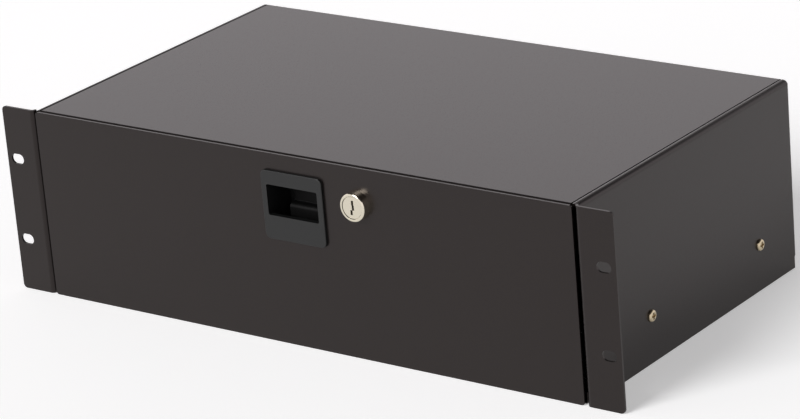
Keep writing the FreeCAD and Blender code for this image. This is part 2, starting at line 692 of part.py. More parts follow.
def double_d(radius, flats, y):
    """A round bar with two flats, along Y on the lock's axis."""
    bar = rod(radius, Vector(LOCK_X, y[0], LOCK_Z), Vector(LOCK_X, y[1], LOCK_Z))
    return bar.common(block(both_ways(radius, LOCK_X), y, both_ways(flats / 2, LOCK_Z)))


def front_cutters():
    """Openings for the lock and for the handle's pocket, through the plate and the tray's front."""
    y = (EAR_FRONT - THROUGH, TRAY_FRONT_INNER + THROUGH)
    lock = double_d(LOCK_BODY_RADIUS + LOCK_HOLE_GAP, LOCK_BODY_FLATS + 2 * LOCK_HOLE_GAP, y)
    side = POCKET_WALL + CUTOUT_GAP
    pocket = block((POCKET_LEFT - side, POCKET_RIGHT + side), y, (POCKET_BOTTOM - side, POCKET_TOP + side))
    return [lock, pocket]


def drawer_front():
    """The flat front plate, with softened edges."""
    plate = block(both_ways(FRONT_HALF), (EAR_FRONT, FRONT_BACK), (PANEL_BOTTOM, FRONT_TOP))
    plate = round_edges(plate, FRONT_CORNER_RADIUS, lambda e: runs_along(e, Vector(0, 1, 0)))
    plate = bevel_edges(plate, FRONT_EDGE_BEVEL, lambda e: lies_on_y(e, EAR_FRONT))
    return plate.cut(front_cutters())


def tray():
    """Floor and sides, with the sides' tops turned in."""
    half = TRAY_HALF - TRAY_SHEET / 2
    low = TRAY_BOTTOM + TRAY_SHEET / 2
    high = TRAY_TOP - TRAY_SHEET / 2
    rim = TRAY_HALF - TRAY_RIM_WIDTH
    path = [(-rim, high), (-half, high), (-half, low), (half, low), (half, high), (rim, high)]
    channel = strip_along_y(path, TRAY_SHEET, TRAY_BEND_INSIDE,
                            (TRAY_FRONT_INNER, TRAY_REAR - TRAY_SHEET))
    holes = inner_screw_holes()
    return channel.cut(holes + [mirrored(hole) for hole in holes])


def tray_end(face, inward, top):
    """A front or back wall, with side flanges that lie inside the tray's sides."""
    half = TRAY_INNER_HALF - TRAY_SHEET / 2
    y = face + inward * TRAY_SHEET / 2
    path = [(-half, face + inward * TRAY_FLANGE), (-half, y), (half, y), (half, face + inward * TRAY_FLANGE)]
    wall = strip_along_z(path, TRAY_SHEET, TRAY_BEND_INSIDE, (TRAY_BOTTOM, top))
    inner = sorted((face + inward * TRAY_SHEET, face + inward * (TRAY_FLANGE + THROUGH)))
    across = both_ways(TRAY_HALF)
    above = block(across, inner, (TRAY_TOP - TRAY_SHEET - TRAY_FLANGE_END_GAP, top + THROUGH))
    below = block(across, inner, (TRAY_BOTTOM - THROUGH, TRAY_BOTTOM + TRAY_SHEET + TRAY_FLANGE_END_GAP))
    return wall.cut([above, below])


def tray_front():
    """The tray's front wall, spot welded to the back of the plate."""
    return tray_end(FRONT_BACK, 1, TRAY_TOP + TRAY_FRONT_RISE).cut(front_cutters())


def tray_back():
    """The tray's back wall."""
    return tray_end(TRAY_REAR, -1, TRAY_TOP)


# ---------------------------------------------------------------- handle and latch


def handle_housing():
    """Bezel and finger pocket in one moulding, snapped into the plate."""
    bezel = block(both_ways(BEZEL_WIDTH / 2, HANDLE_X), (BEZEL_FRONT, EAR_FRONT), (BEZEL_BOTTOM, BEZEL_TOP))
    bezel = round_edges(bezel, BEZEL_CORNER_RADIUS, lambda e: runs_along(e, Vector(0, 1, 0)))
    bezel = bevel_edges(bezel, BEZEL_EDGE_BEVEL, lambda e: lies_on_y(e, BEZEL_FRONT))
    walls = (POCKET_LEFT - POCKET_WALL, POCKET_RIGHT + POCKET_WALL)
    shell = block(walls, (EAR_FRONT, POCKET_BACK), (POCKET_BOTTOM - POCKET_WALL, POCKET_TOP + POCKET_WALL))
    room = block((POCKET_LEFT, POCKET_RIGHT), (LIP_BACK, POCKET_DEPTH), (POCKET_BOTTOM, POCKET_TOP))
    opening = block((POCKET_LEFT, POCKET_RIGHT), (BEZEL_FRONT - THROUGH, LIP_BACK + THROUGH),
                    (OPENING_BOTTOM, OPENING_TOP))
    opening = round_edges(opening, OPENING_CORNER_RADIUS, lambda e: runs_along(e, Vector(0, 1, 0)))
    bosses = []
    for wall, end in ((POCKET_LEFT, -1), (POCKET_RIGHT, 1)):
        stop = HANDLE_X + end * (PADDLE_WIDTH / 2 + PADDLE_END_GAP)
        bosses.append(rod(PADDLE_HUB_RADIUS, Vector(wall, PIN_Y, PIN_Z), Vector(stop, PIN_Y, PIN_Z)))
    window = block(both_ways(ARM_WIDTH / 2 + ARM_WINDOW_GAP, HANDLE_X),
                   (POCKET_DEPTH - THROUGH, POCKET_BACK + THROUGH),
                   both_ways(ARM_THICKNESS + ARM_WINDOW_GAP, PIN_Z))
    body = fused([bezel, shell] + handle_snaps()).cut(room)
    body = fused([body] + bosses)
    return body.cut([opening, window, paddle_pin()] + bracket_screw_cores())


def handle_snaps():
    """Wedges that spread behind the tray's front wall."""
    snaps = []
    for side in (-1, 1):
        wall = HANDLE_X + side * (POCKET_WIDTH / 2 + POCKET_WALL)
        out = wall + side * (CUTOUT_GAP + SNAP_PROUD)
        middle = (POCKET_TOP + POCKET_BOTTOM) / 2
        base = middle - SNAP_HEIGHT / 2
        points = [Vector(wall, TRAY_FRONT_INNER, base), Vector(out, TRAY_FRONT_INNER, base),
                  Vector(wall, TRAY_FRONT_INNER + SNAP_LENGTH, base), Vector(wall, TRAY_FRONT_INNER, base)]
        snaps.append(Part.Face(Part.makePolygon(points)).extrude(Vector(0, 0, SNAP_HEIGHT)))
    return snaps


def paddle_pin():
    """The paddle's hinge pin, held in both walls of the pocket."""
    reach = POCKET_WIDTH / 2 + POCKET_WALL
    ends = [Vector(x, PIN_Y, PIN_Z) for x in both_ways(reach, HANDLE_X)]
    return rod(PADDLE_PIN_RADIUS, *ends)


def latch_paddle():
    """The paddle: a hub, a blade that steps forward to its grip, and an arm that reaches back to the bolt."""
    x = both_ways(PADDLE_WIDTH / 2, HANDLE_X)
    hub = rod(PADDLE_HUB_RADIUS, Vector(x[0], PIN_Y, PIN_Z), Vector(x[1], PIN_Y, PIN_Z))
    step = PIN_Z - PADDLE_DROP
    grip_y = PIN_Y - PADDLE_STEP
    blade = strip_along_x([(PIN_Y, PIN_Z), (PIN_Y, step), (grip_y, step), (grip_y, step - PADDLE_GRIP)],
                          PADDLE_SHEET, PADDLE_BEND_INSIDE, x)
    nose = Vector(HANDLE_X, ARM_NOSE_Y, ARM_NOSE_Z)
    half = Vector(ARM_WIDTH / 2, 0, 0)
    knuckle = rod(ARM_NOSE_RADIUS, nose - half, nose + half)
    arm = block(both_ways(ARM_WIDTH / 2, HANDLE_X), (PIN_Y, PIN_Y + ARM_LENGTH),
                both_ways(ARM_THICKNESS / 2, PIN_Z))
    arm.rotate(Vector(HANDLE_X, PIN_Y, PIN_Z), Vector(1, 0, 0), ARM_REST)
    bore = rod(PADDLE_PIN_RADIUS + PADDLE_PIN_GAP, Vector(x[0] - THROUGH, PIN_Y, PIN_Z),
               Vector(x[1] + THROUGH, PIN_Y, PIN_Z))
    return fused([hub, blade, arm, knuckle]).cut(bore)


def latch_bolt():
    """The latch bolt, with a ramped tip, a window for the arm's nose and a pocket for the spring."""
    x = both_ways(BOLT_WIDTH / 2, HANDLE_X)
    profile = [(BOLT_FRONT, BOLT_BOTTOM), (BOLT_FRONT, BOLT_TOP), (BOLT_BACK - BOLT_RAMP, BOLT_TOP),
               (BOLT_BACK, BOLT_TOP - BOLT_RAMP), (BOLT_BACK, BOLT_BOTTOM), (BOLT_FRONT, BOLT_BOTTOM)]
    outline = Part.makePolygon([Vector(x[0], y, z) for y, z in profile])
    bar = Part.Face(outline).extrude(Vector(BOLT_WIDTH, 0, 0))
    window = block(both_ways(ARM_WIDTH / 2 + ARM_SLOT_GAP, HANDLE_X),
                   (BOLT_FRONT - THROUGH, ARM_NOSE_Y + ARM_NOSE_RADIUS + ARM_SLOT_GAP),
                   both_ways(ARM_NOSE_RADIUS + ARM_SLOT_GAP, ARM_NOSE_Z))
    return bar.cut(window)


def spring_seat():
    """Centre of the spring's foot on the bracket's floor."""
    return Vector(HANDLE_X, (BOLT_FRONT + BOLT_BACK) / 2, BRACKET_BOTTOM + BRACKET_SHEET)


def bolt_spring():
    """The compression spring under the bolt: a round wire, cut to flat facets along its helix."""
    seat = spring_seat() + Vector(0, 0, SPRING_WIRE_RADIUS)
    height = BOLT_BOTTOM - SPRING_WIRE_RADIUS - seat.z
    steps = SPRING_TURNS * SPRING_STEPS_PER_TURN
    sections = []
    for i in range(steps + 1):
        turn = 2 * math.pi * i / SPRING_STEPS_PER_TURN
        out = Vector(math.cos(turn), math.sin(turn), 0)
        centre = seat + out * SPRING_COIL_RADIUS + Vector(0, 0, height * i / steps)
        sections.append(ring(centre, Vector(0, 0, SPRING_WIRE_RADIUS), out * SPRING_WIRE_RADIUS, WIRE_FACETS))
    return Part.makeLoft(sections, True, True)


def bracket_foot_x():
    """Middles of the bracket's two feet."""
    reach = BOLT_WIDTH / 2 + BOLT_GAP + BRACKET_SHEET + BRACKET_FOOT / 2
    return (HANDLE_X - reach, HANDLE_X + reach)


def bracket_screw_places():
    """Seats of the bracket's screws."""
    middle = (BRACKET_TOP + BRACKET_BOTTOM) / 2
    return [Vector(x, POCKET_BACK + BRACKET_SHEET, middle) for x in bracket_foot_x()]


def bracket_screw_cores():
    """The screws' shanks, which cut their own holes in the moulding."""
    reach = Vector(0, BRACKET_SHEET + POCKET_WALL, 0)
    return [faceted_rod(BRACKET_SCREW_RADIUS, p - reach, p) for p in bracket_screw_places()]


def bracket_screws():
    """Two small hexagon-headed screws through the bracket's feet."""
    screws = []
    for p, core in zip(bracket_screw_places(), bracket_screw_cores()):
        screws.append(fused([core, hexagon(2 * BRACKET_HEAD_RADIUS, p, BRACKET_HEAD_HEIGHT)]))
    return Part.makeCompound(screws)


def latch_bracket():
    """The hat-shaped guide that keeps the bolt against the pocket, with a floor for the spring."""
    half = BOLT_WIDTH / 2 + BOLT_GAP + BRACKET_SHEET / 2
    foot = half + BRACKET_SHEET / 2 + BRACKET_FOOT
    near = POCKET_BACK + BRACKET_SHEET / 2
    far = BRACKET_BACK - BRACKET_SHEET / 2
    path = [(HANDLE_X - foot, near), (HANDLE_X - half, near), (HANDLE_X - half, far),
            (HANDLE_X + half, far), (HANDLE_X + half, near), (HANDLE_X + foot, near)]
    hat = strip_along_z(path, BRACKET_SHEET, BRACKET_BEND_INSIDE, (BRACKET_BOTTOM, BRACKET_TOP))
    floor = block(both_ways(half, HANDLE_X), (POCKET_BACK, far),
                  (BRACKET_BOTTOM, BRACKET_BOTTOM + BRACKET_SHEET))
    return fused([hat, floor]).cut(bracket_screw_cores())


# ---------------------------------------------------------------- lock


def on_lock_axis(y):
    """A point on the lock's axis."""
    return Vector(LOCK_X, y, LOCK_Z)


def lock_barrel():
    """The lock's body: a flared head with a rim round the plug's face, and a long body with flats."""
    head = faceted_cone(on_lock_axis(LOCK_FACE), LOCK_HEAD_RADIUS,
                        on_lock_axis(EAR_FRONT), LOCK_HEAD_RADIUS + LOCK_HEAD_FLARE, LOCK_HEAD_FACETS)
    body = double_d(LOCK_BODY_RADIUS, LOCK_BODY_FLATS, (LOCK_FACE + LOCK_RIM, LOCK_BODY_END))
    room = LOCK_HEAD_RADIUS - LOCK_RIM
    face_room = faceted_cone(on_lock_axis(LOCK_FACE - THROUGH), room,
                             on_lock_axis(LOCK_FACE + LOCK_FACE_RECESS + PLUG_FACE_THICKNESS), room,
                             LOCK_HEAD_FACETS)
    bore = rod(PLUG_RADIUS + PLUG_GAP, on_lock_axis(LOCK_FACE), on_lock_axis(LOCK_BODY_END + THROUGH))
    return fused([head, body]).cut([face_room, bore])


def lock_nut():
    """The nut that draws the lock tight."""
    start = on_lock_axis(TRAY_FRONT_INNER)
    end = start + Vector(0, LOCK_NUT_HEIGHT, 0)
    return hexagon(LOCK_NUT_ACROSS_FLATS, start, LOCK_NUT_HEIGHT).cut(rod(LOCK_BODY_RADIUS, start, end))


def keyway():
    """The cutter of the jogged key slot."""
    front = LOCK_FACE - THROUGH
    back = LOCK_FACE + LOCK_FACE_RECESS + KEYWAY_DEPTH
    third = KEYWAY_HEIGHT / 3
    parts = []
    for i, jog in zip((-1, 0, 1), KEYWAY_JOGS):
        parts.append(block(both_ways(KEYWAY_WIDTH / 2, LOCK_X + jog), (front, back),
                           both_ways(third / 2, LOCK_Z + i * third)))
    return fused(parts)


def lock_plug():
    """The plug that the key turns, with a square tail for the cam."""
    shoulder = LOCK_FACE + LOCK_FACE_RECESS
    radius = LOCK_HEAD_RADIUS - LOCK_RIM - PLUG_GAP
    face = faceted_cone(on_lock_axis(shoulder), radius,
                        on_lock_axis(shoulder + PLUG_FACE_THICKNESS - PLUG_GAP), radius, LOCK_HEAD_FACETS)
    shaft = rod(PLUG_RADIUS, on_lock_axis(shoulder), on_lock_axis(CAM_FRONT))
    half = PLUG_TAIL_SIDE / 2
    tail = block(both_ways(half, LOCK_X), (CAM_FRONT - THROUGH, CAM_BACK), both_ways(half, LOCK_Z))
    thread = rod(CAM_SCREW_RADIUS, on_lock_axis(CAM_BACK - CAM_SCREW_DEPTH), on_lock_axis(CAM_BACK + THROUGH))
    return fused([face, shaft, tail]).cut([keyway(), thread])


def lock_cam():
    """The cam, level when the drawer is unlocked."""
    y = (CAM_FRONT, CAM_BACK)
    half = CAM_WIDTH / 2
    tip = Vector(LOCK_X + CAM_LENGTH - half, 0, LOCK_Z)
    ends = [rod(half, Vector(x, y[0], LOCK_Z), Vector(x, y[1], LOCK_Z)) for x in (LOCK_X, tip.x)]
    bar = block((LOCK_X, tip.x), y, both_ways(half, LOCK_Z))
    side = PLUG_TAIL_SIDE / 2
    hole = block(both_ways(side, LOCK_X), (y[0] - THROUGH, y[1] + THROUGH), both_ways(side, LOCK_Z))
    return fused([bar] + ends).cut(hole)


def cam_screw():
    """The screw that holds the cam on the plug's tail."""
    shank = rod(CAM_SCREW_RADIUS, on_lock_axis(CAM_BACK - CAM_SCREW_DEPTH), on_lock_axis(CAM_BACK))
    return fused([shank, hexagon(CAM_HEAD_ACROSS_FLATS, on_lock_axis(CAM_BACK), CAM_HEAD_HEIGHT)])


# ---------------------------------------------------------------- the pieces by name

PIECES = {
    "case_cover": case_cover(),
    "case_pan": case_pan(),
    "strike_angle": strike_angle(),
    "case_slide_screws": case_slide_screws(),
    "tray": tray(),
    "tray_front": tray_front(),
    "tray_back": tray_back(),
    "drawer_front": drawer_front(),
    "drawer_slide_screws": drawer_slide_screws(),
    "handle_housing": handle_housing(),
    "paddle_pin": paddle_pin(),
    "latch_paddle": latch_paddle(),
    "latch_bolt": latch_bolt(),
    "bolt_spring": bolt_spring(),
    "latch_bracket": latch_bracket(),
    "bracket_screws": bracket_screws(),
    "lock_barrel": lock_barrel(),
    "lock_nut": lock_nut(),
    "lock_plug": lock_plug(),
    "lock_cam": lock_cam(),
    "cam_screw": cam_screw(),
}

HANDED = {
    "case_side": case_side(),
    "slide_outer": slide_outer(),
    "slide_middle": slide_middle(),
    "slide_inner": slide_inner(),
    "slide_buffer": slide_buffer(),
    "cage_outer": cage(OUTER_CAGE_WEB, OUTER_BALL_ACROSS, OUTER_BALL_V),
    "cage_inner": cage(INNER_CAGE_WEB, INNER_BALL_ACROSS, INNER_BALL_V),
    "balls_outer": balls(OUTER_BALL_ACROSS, OUTER_BALL_V),
    "balls_inner": balls(INNER_BALL_ACROSS, INNER_BALL_V),
}

for name, shape in HANDED.items():
    PIECES[name + "_right"] = shape
    PIECES[name + "_left"] = mirrored(shape)

os.makedirs("parts", exist_ok=True)
for name, shape in PIECES.items():
    shape.exportStep("parts/" + name + ".step")
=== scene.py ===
import math

import bmesh
import bpy
from mathutils import Matrix, Vector


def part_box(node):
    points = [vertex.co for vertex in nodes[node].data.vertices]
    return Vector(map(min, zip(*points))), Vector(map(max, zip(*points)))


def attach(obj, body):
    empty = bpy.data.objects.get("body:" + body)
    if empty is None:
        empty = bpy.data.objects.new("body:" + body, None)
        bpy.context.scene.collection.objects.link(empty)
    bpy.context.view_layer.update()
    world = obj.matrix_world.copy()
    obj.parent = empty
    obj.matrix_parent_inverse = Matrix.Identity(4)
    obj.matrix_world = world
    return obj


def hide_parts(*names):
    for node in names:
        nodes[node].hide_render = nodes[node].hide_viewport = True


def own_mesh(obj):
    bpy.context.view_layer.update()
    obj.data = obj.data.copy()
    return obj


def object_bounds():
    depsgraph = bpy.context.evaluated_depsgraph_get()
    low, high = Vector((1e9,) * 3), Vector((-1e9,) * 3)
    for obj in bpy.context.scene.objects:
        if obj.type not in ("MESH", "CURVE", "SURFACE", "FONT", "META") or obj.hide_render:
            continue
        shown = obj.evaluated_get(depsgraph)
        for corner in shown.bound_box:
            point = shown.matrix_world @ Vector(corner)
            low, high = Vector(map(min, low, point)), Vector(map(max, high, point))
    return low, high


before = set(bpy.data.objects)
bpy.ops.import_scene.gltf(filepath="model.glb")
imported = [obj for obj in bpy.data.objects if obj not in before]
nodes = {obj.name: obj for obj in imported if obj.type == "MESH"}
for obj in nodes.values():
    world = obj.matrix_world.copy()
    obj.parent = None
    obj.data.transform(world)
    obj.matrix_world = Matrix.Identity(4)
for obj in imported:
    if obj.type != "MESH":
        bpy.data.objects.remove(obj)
cad_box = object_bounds()
scene = bpy.context.scene

# ---- Case sides
# Cold-rolled steel sheet, 1.5 mm thick, folded on a press brake with the rack ear in one with the wall.
# After spot welding the case is sprayed with black polyester powder and baked, which leaves a satin skin
# with a faint orange peel.
COAT_BLACK = "#100d0c"
COAT_THIN = "#141110"
COAT_ROUGHNESS = 0.29
GLOSS_SPREAD = 0.05
RESIN_SPECULAR = 0.38
RESIN_TINT = (1.0, 0.88, 0.86, 1.0)
ORANGE_PEEL_MM = 1.8
ORANGE_PEEL_DEPTH_MM = 0.012
POWDER_GRAIN_MM = 0.45
SPRAY_CLOUD_MM = 90.0
SMOOTH_BELOW = math.radians(32)
FLAT_BELOW = math.radians(0.5)
TOUCH_MM = 1e-3


def linear(hex_colour):
    """An sRGB hex colour as linear red, green, blue and alpha."""
    parts = [int(hex_colour[i:i + 2], 16) / 255 for i in (1, 3, 5)]
    return [c / 12.92 if c <= 0.04045 else ((c + 0.055) / 1.055) ** 2.4 for c in parts] + [1.0]


def add(tree, kind, links=None, values=None, **settings):
    """Adds a shader node with its settings, its input values and its incoming links."""
    made = tree.nodes.new(kind)
    for name, value in settings.items():
        setattr(made, name, value)
    for name, value in (values or {}).items():
        made.inputs[name].default_value = value
    for name, (source, output) in (links or {}).items():
        tree.links.new(source.outputs[output], made.inputs[name])
    return made


def new_material(name):
    """An empty material and its node tree."""
    material = bpy.data.materials.new(name)
    material.use_nodes = True
    material.node_tree.nodes.clear()
    return material, material.node_tree


def object_place(tree):
    """The Object coordinates that every pattern lies on."""
    return add(tree, "ShaderNodeTexCoord"), "Object"


def noise(tree, place, size_mm, detail, **values):
    """Noise whose features are this size in millimetres."""
    values = {"Scale": 1000 / size_mm, "Detail": detail, **values}
    return add(tree, "ShaderNodeTexNoise", {"Vector": place}, values), "Fac"


def blend(tree, factor, first, second):
    """A colour that runs between two with a pattern."""
    made = add(tree, "ShaderNodeMix", {"Factor": factor}, {"A": first, "B": second}, data_type="RGBA")
    return made, "Result"


def spread(tree, pattern, low, high):
    """A pattern brought into a range."""
    return add(tree, "ShaderNodeMapRange", {"Value": pattern}, {"To Min": low, "To Max": high}), "Result"


def relief(tree, height, depth_mm, **links):
    """A surface this deep in millimetres from a pattern."""
    values = {"Strength": 1.0, "Distance": depth_mm / 1000}
    return add(tree, "ShaderNodeBump", {"Height": height, **links}, values), "Normal"


def surface(material, links, values):
    """Ends a material with its surface and gives it back."""
    skin = add(material.node_tree, "ShaderNodeBsdfPrincipled", links, values)
    add(material.node_tree, "ShaderNodeOutputMaterial", {"Surface": (skin, "BSDF")})
    return material


def powder_coat(name, black, thin):
    """Satin polyester powder coat: orange peel and grain in the surface, spray clouds in the colour."""
    material, tree = new_material(name)
    place = object_place(tree)
    cloud = noise(tree, place, SPRAY_CLOUD_MM, 3.0, Roughness=0.6)
    peel = noise(tree, place, ORANGE_PEEL_MM, 1.0)
    grain = noise(tree, place, POWDER_GRAIN_MM, 2.0)
    return surface(material, {
        "Base Color": blend(tree, cloud, linear(black), linear(thin)),
        "Roughness": spread(tree, grain, COAT_ROUGHNESS - GLOSS_SPREAD, COAT_ROUGHNESS + GLOSS_SPREAD),
        "Normal": relief(tree, peel, ORANGE_PEEL_DEPTH_MM),
    }, {"Specular IOR Level": RESIN_SPECULAR, "Specular Tint": RESIN_TINT})


def make_active(piece):
    """Deselects everything else and makes a piece the one that the next operators work on."""
    bpy.ops.object.select_all(action="DESELECT")
    piece.select_set(True)
    bpy.context.view_layer.objects.active = piece


def open_for_edit(piece, kind, action="DESELECT"):
    """Opens a piece in edit mode with nothing or everything selected, and gives its editable mesh."""
    make_active(piece)
    bpy.ops.object.mode_set(mode="EDIT")
    bpy.ops.mesh.select_mode(type=kind)
    bpy.ops.mesh.select_all(action=action)
    return bmesh.from_edit_mesh(piece.data)


def close_edit():
    """Leaves edit mode."""
    bpy.ops.object.mode_set(mode="OBJECT")


def work(piece, kind, **settings):
    """Adds a modifier to a piece, sets it and applies it."""
    make_active(piece)
    modifier = piece.modifiers.new(kind.lower(), kind)
    for name, value in settings.items():
        setattr(modifier, name, value)
    bpy.ops.object.modifier_apply(modifier=modifier.name)


def smooth(piece):
    """Shades rounds smooth and keeps flats flat."""
    make_active(piece)
    bpy.ops.object.shade_smooth_by_angle(angle=SMOOTH_BELOW)
    work(piece, "WEIGHTED_NORMAL", mode="FACE_AREA", weight=50, keep_sharp=True)


def fit(piece, body, slot, material, *replaced):
    """Gives a finished piece its material and its body, and hides the CAD nodes it stands for. slot is not
    used.
    """
    piece.data.materials.clear()
    piece.data.materials.append(material)
    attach(piece, body)
    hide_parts(*replaced)


def joined_copy(node, name):
    """A copy of a CAD part with its loose triangles joined, so that its bends can shade smoothly."""
    piece = bpy.data.objects.new(name, nodes[node].data.copy())
    scene.collection.objects.link(piece)
    open_for_edit(piece, "VERT", "SELECT")
    bpy.ops.mesh.remove_doubles(threshold=1e-6)
    bpy.ops.mesh.dissolve_limited(angle_limit=FLAT_BELOW)
    close_edit()
    return piece


case_coat = powder_coat("powder_coated_case_steel", COAT_BLACK, COAT_THIN)
for side in ("left", "right"):
    wall = joined_copy("case_side_" + side, "case_wall_" + side)
    smooth(wall)
    fit(wall, "case", "case_powder_coat", case_coat, "case_side_" + side)

# ---- Case cover
# One sheet of 1.2 mm steel that is the top and the rear, let in flush with the walls' flanges. A narrow
# lip folded down at the mouth stiffens it, and its cut edges are softened by the powder.
COVER_SHEET_MM = 1.2
COVER_LIP_BEND_MM = 0.6
COVER_REAR_BEND_MM = 2.3
COVER_LIP_MM = 4.2
LIP_NOTCH_MM = 9.0
CUT_EDGE_MM = 0.18
FOLD_STEPS = 6
REACH_MM = 3.0
OVERLAP_MM = 1.0


def pick_edges(piece, chosen):
    """Opens a piece with the edges selected whose two ends pass a test."""
    mesh = open_for_edit(piece, "EDGE")
    for edge in mesh.edges:
        edge.select_set(chosen(edge.verts[0].co * 1000, edge.verts[1].co * 1000))
    bmesh.update_edit_mesh(piece.data)


def at(axis, place):
    """A test for edges that lie at one place along an axis."""
    return lambda a, b: abs(a[axis] - place) < TOUCH_MM and abs(b[axis] - place) < TOUCH_MM


def round_picked(width_mm, steps):
    """Rounds the edges that are selected and leaves edit mode."""
    bpy.ops.mesh.bevel(offset=width_mm / 1000, segments=steps)
    close_edit()


def pick_faces(piece, chosen):
    """Opens a piece with the faces selected whose centre and normal pass a test."""
    mesh = open_for_edit(piece, "FACE")
    for face in mesh.faces:
        face.select_set(chosen(face.calc_center_median() * 1000, face.normal))
    bmesh.update_edit_mesh(piece.data)


def settle(piece):
    """Moves a new primitive's place, turn and size into its mesh."""
    make_active(piece)
    bpy.ops.object.transform_apply(location=True, rotation=True, scale=True)


def corners_mm(node):
    """Lowest and highest corner of a CAD node in millimetres."""
    low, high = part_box(node)
    return Vector(low) * 1000, Vector(high) * 1000


def new_shape(operator, name, **settings):
    """One of Blender's basic shapes as a piece of its own."""
    bpy.ops.object.select_all(action="DESELECT")
    operator(**settings)
    bpy.context.active_object.name = name
    return bpy.context.active_object


def folded(name, corners, run, sheet, bends):
    """Sheet metal drawn out along run from its mid-line's corners, with an inside radius at each fold."""
    points = [Vector(corner) for corner in corners]
    run = Vector(run)
    piece = new_shape(bpy.ops.mesh.primitive_plane_add, name, size=0.001, location=points[0] / 1000)
    settle(piece)
    open_for_edit(piece, "VERT", "SELECT")
    bpy.ops.mesh.merge(type="CENTER")
    for here, there in zip(points, points[1:]):
        bpy.ops.mesh.extrude_vertices_move(TRANSFORM_OT_translate={"value": (there - here) / 1000})
    bpy.ops.mesh.select_all(action="SELECT")
    bpy.ops.mesh.extrude_edges_move(TRANSFORM_OT_translate={"value": run / 1000})
    close_edit()
    along = run.normalized()
    for before, here, after, bend in zip(points, points[1:], points[2:], bends):
        turn = (here - before).angle(after - here)

        def on_fold(a, b):
            return all((p - here - along * (p - here).dot(along)).length < TOUCH_MM for p in (a, b))

        if bend:
            pick_edges(piece, on_fold)
            round_picked((bend + sheet / 2) * math.tan(turn / 2), FOLD_STEPS)
    work(piece, "SOLIDIFY", thickness=sheet / 1000, offset=0.0, use_even_offset=True)
    return piece


def block(name, low, high):
    """A box between two corners given in millimetres."""
    low, high = Vector(low) / 1000, Vector(high) / 1000
    piece = new_shape(bpy.ops.mesh.primitive_cube_add, name, size=1, location=(low + high) / 2)
    piece.scale = high - low
    settle(piece)
    return piece


def with_tools(piece, operation, *tools):
    """Cuts with, joins or intersects other shapes, which are used up."""
    for tool in tools:
        work(piece, "BOOLEAN", operation=operation, object=tool, solver="EXACT")
        bpy.data.objects.remove(tool, do_unlink=True)


def cut(piece, *tools):
    """Cuts other shapes out of a piece."""
    with_tools(piece, "DIFFERENCE", *tools)


def unite(piece, *tools):
    """Joins other shapes to a piece."""
    with_tools(piece, "UNION", *tools)


def soften(piece, width_mm, steps):
    """Rounds every sharp edge of a piece a little."""
    work(piece, "BEVEL", width=width_mm / 1000, segments=steps, limit_method="ANGLE",
         angle_limit=SMOOTH_BELOW)
    smooth(piece)


cover_low, cover_high = corners_mm("case_cover")
half_sheet = COVER_SHEET_MM / 2
cover_top = cover_high.z - half_sheet
cover_lip = cover_low.y + half_sheet
cover_rear = cover_high.y - half_sheet
cover = folded("case_lid",
               [(cover_low.x, cover_lip, cover_high.z - COVER_LIP_MM), (cover_low.x, cover_lip, cover_top),
                (cover_low.x, cover_rear, cover_top), (cover_low.x, cover_rear, cover_low.z)],
               (cover_high.x - cover_low.x, 0, 0), COVER_SHEET_MM, [COVER_LIP_BEND_MM, COVER_REAR_BEND_MM])
for end in (cover_low.x, cover_high.x):
    inner = end - math.copysign(LIP_NOTCH_MM, end)
    outer = end + math.copysign(REACH_MM, end)
    cut(cover, block("lip_notch", (min(inner, outer), cover_low.y - REACH_MM, 0),
                     (max(inner, outer), cover_low.y + COVER_SHEET_MM + OVERLAP_MM,
                      cover_high.z - COVER_SHEET_MM)))
soften(cover, CUT_EDGE_MM, 2)
fit(cover, "case", "case_powder_coat", case_coat, "case_cover")

# ---- Case pan and strike
# The pan closes the case below, with its sides turned up against the walls. The strike is a short angle
# welded under the cover, behind whose drop the latch bolt and the lock's cam catch.
PAN_SHEET_MM = 1.2
PAN_BEND_MM = 1.0
STRIKE_SHEET_MM = 1.5
STRIKE_BEND_MM = 0.8

pan_low, pan_high = corners_mm("case_pan")
left, right = pan_low.x + PAN_SHEET_MM / 2, pan_high.x - PAN_SHEET_MM / 2
pan_floor = pan_low.z + PAN_SHEET_MM / 2
pan = folded("case_floor_pan",
             [(left, pan_low.y, pan_high.z), (left, pan_low.y, pan_floor),
              (right, pan_low.y, pan_floor), (right, pan_low.y, pan_high.z)],
             (0, pan_high.y - pan_low.y, 0), PAN_SHEET_MM, [PAN_BEND_MM, PAN_BEND_MM])
soften(pan, CUT_EDGE_MM, 2)
fit(pan, "case", "case_powder_coat", case_coat, "case_pan")

strike_low, strike_high = corners_mm("strike_angle")
strike_top = strike_high.z - STRIKE_SHEET_MM / 2
strike_drop = strike_high.y - STRIKE_SHEET_MM / 2
strike = folded("latch_strike",
                [(strike_low.x, strike_low.y, strike_top), (strike_low.x, strike_drop, strike_top),
                 (strike_low.x, strike_drop, strike_low.z)],
                (strike_high.x - strike_low.x, 0, 0), STRIKE_SHEET_MM, [STRIKE_BEND_MM])
soften(strike, CUT_EDGE_MM, 2)
fit(strike, "case", "case_powder_coat", case_coat, "strike_angle")

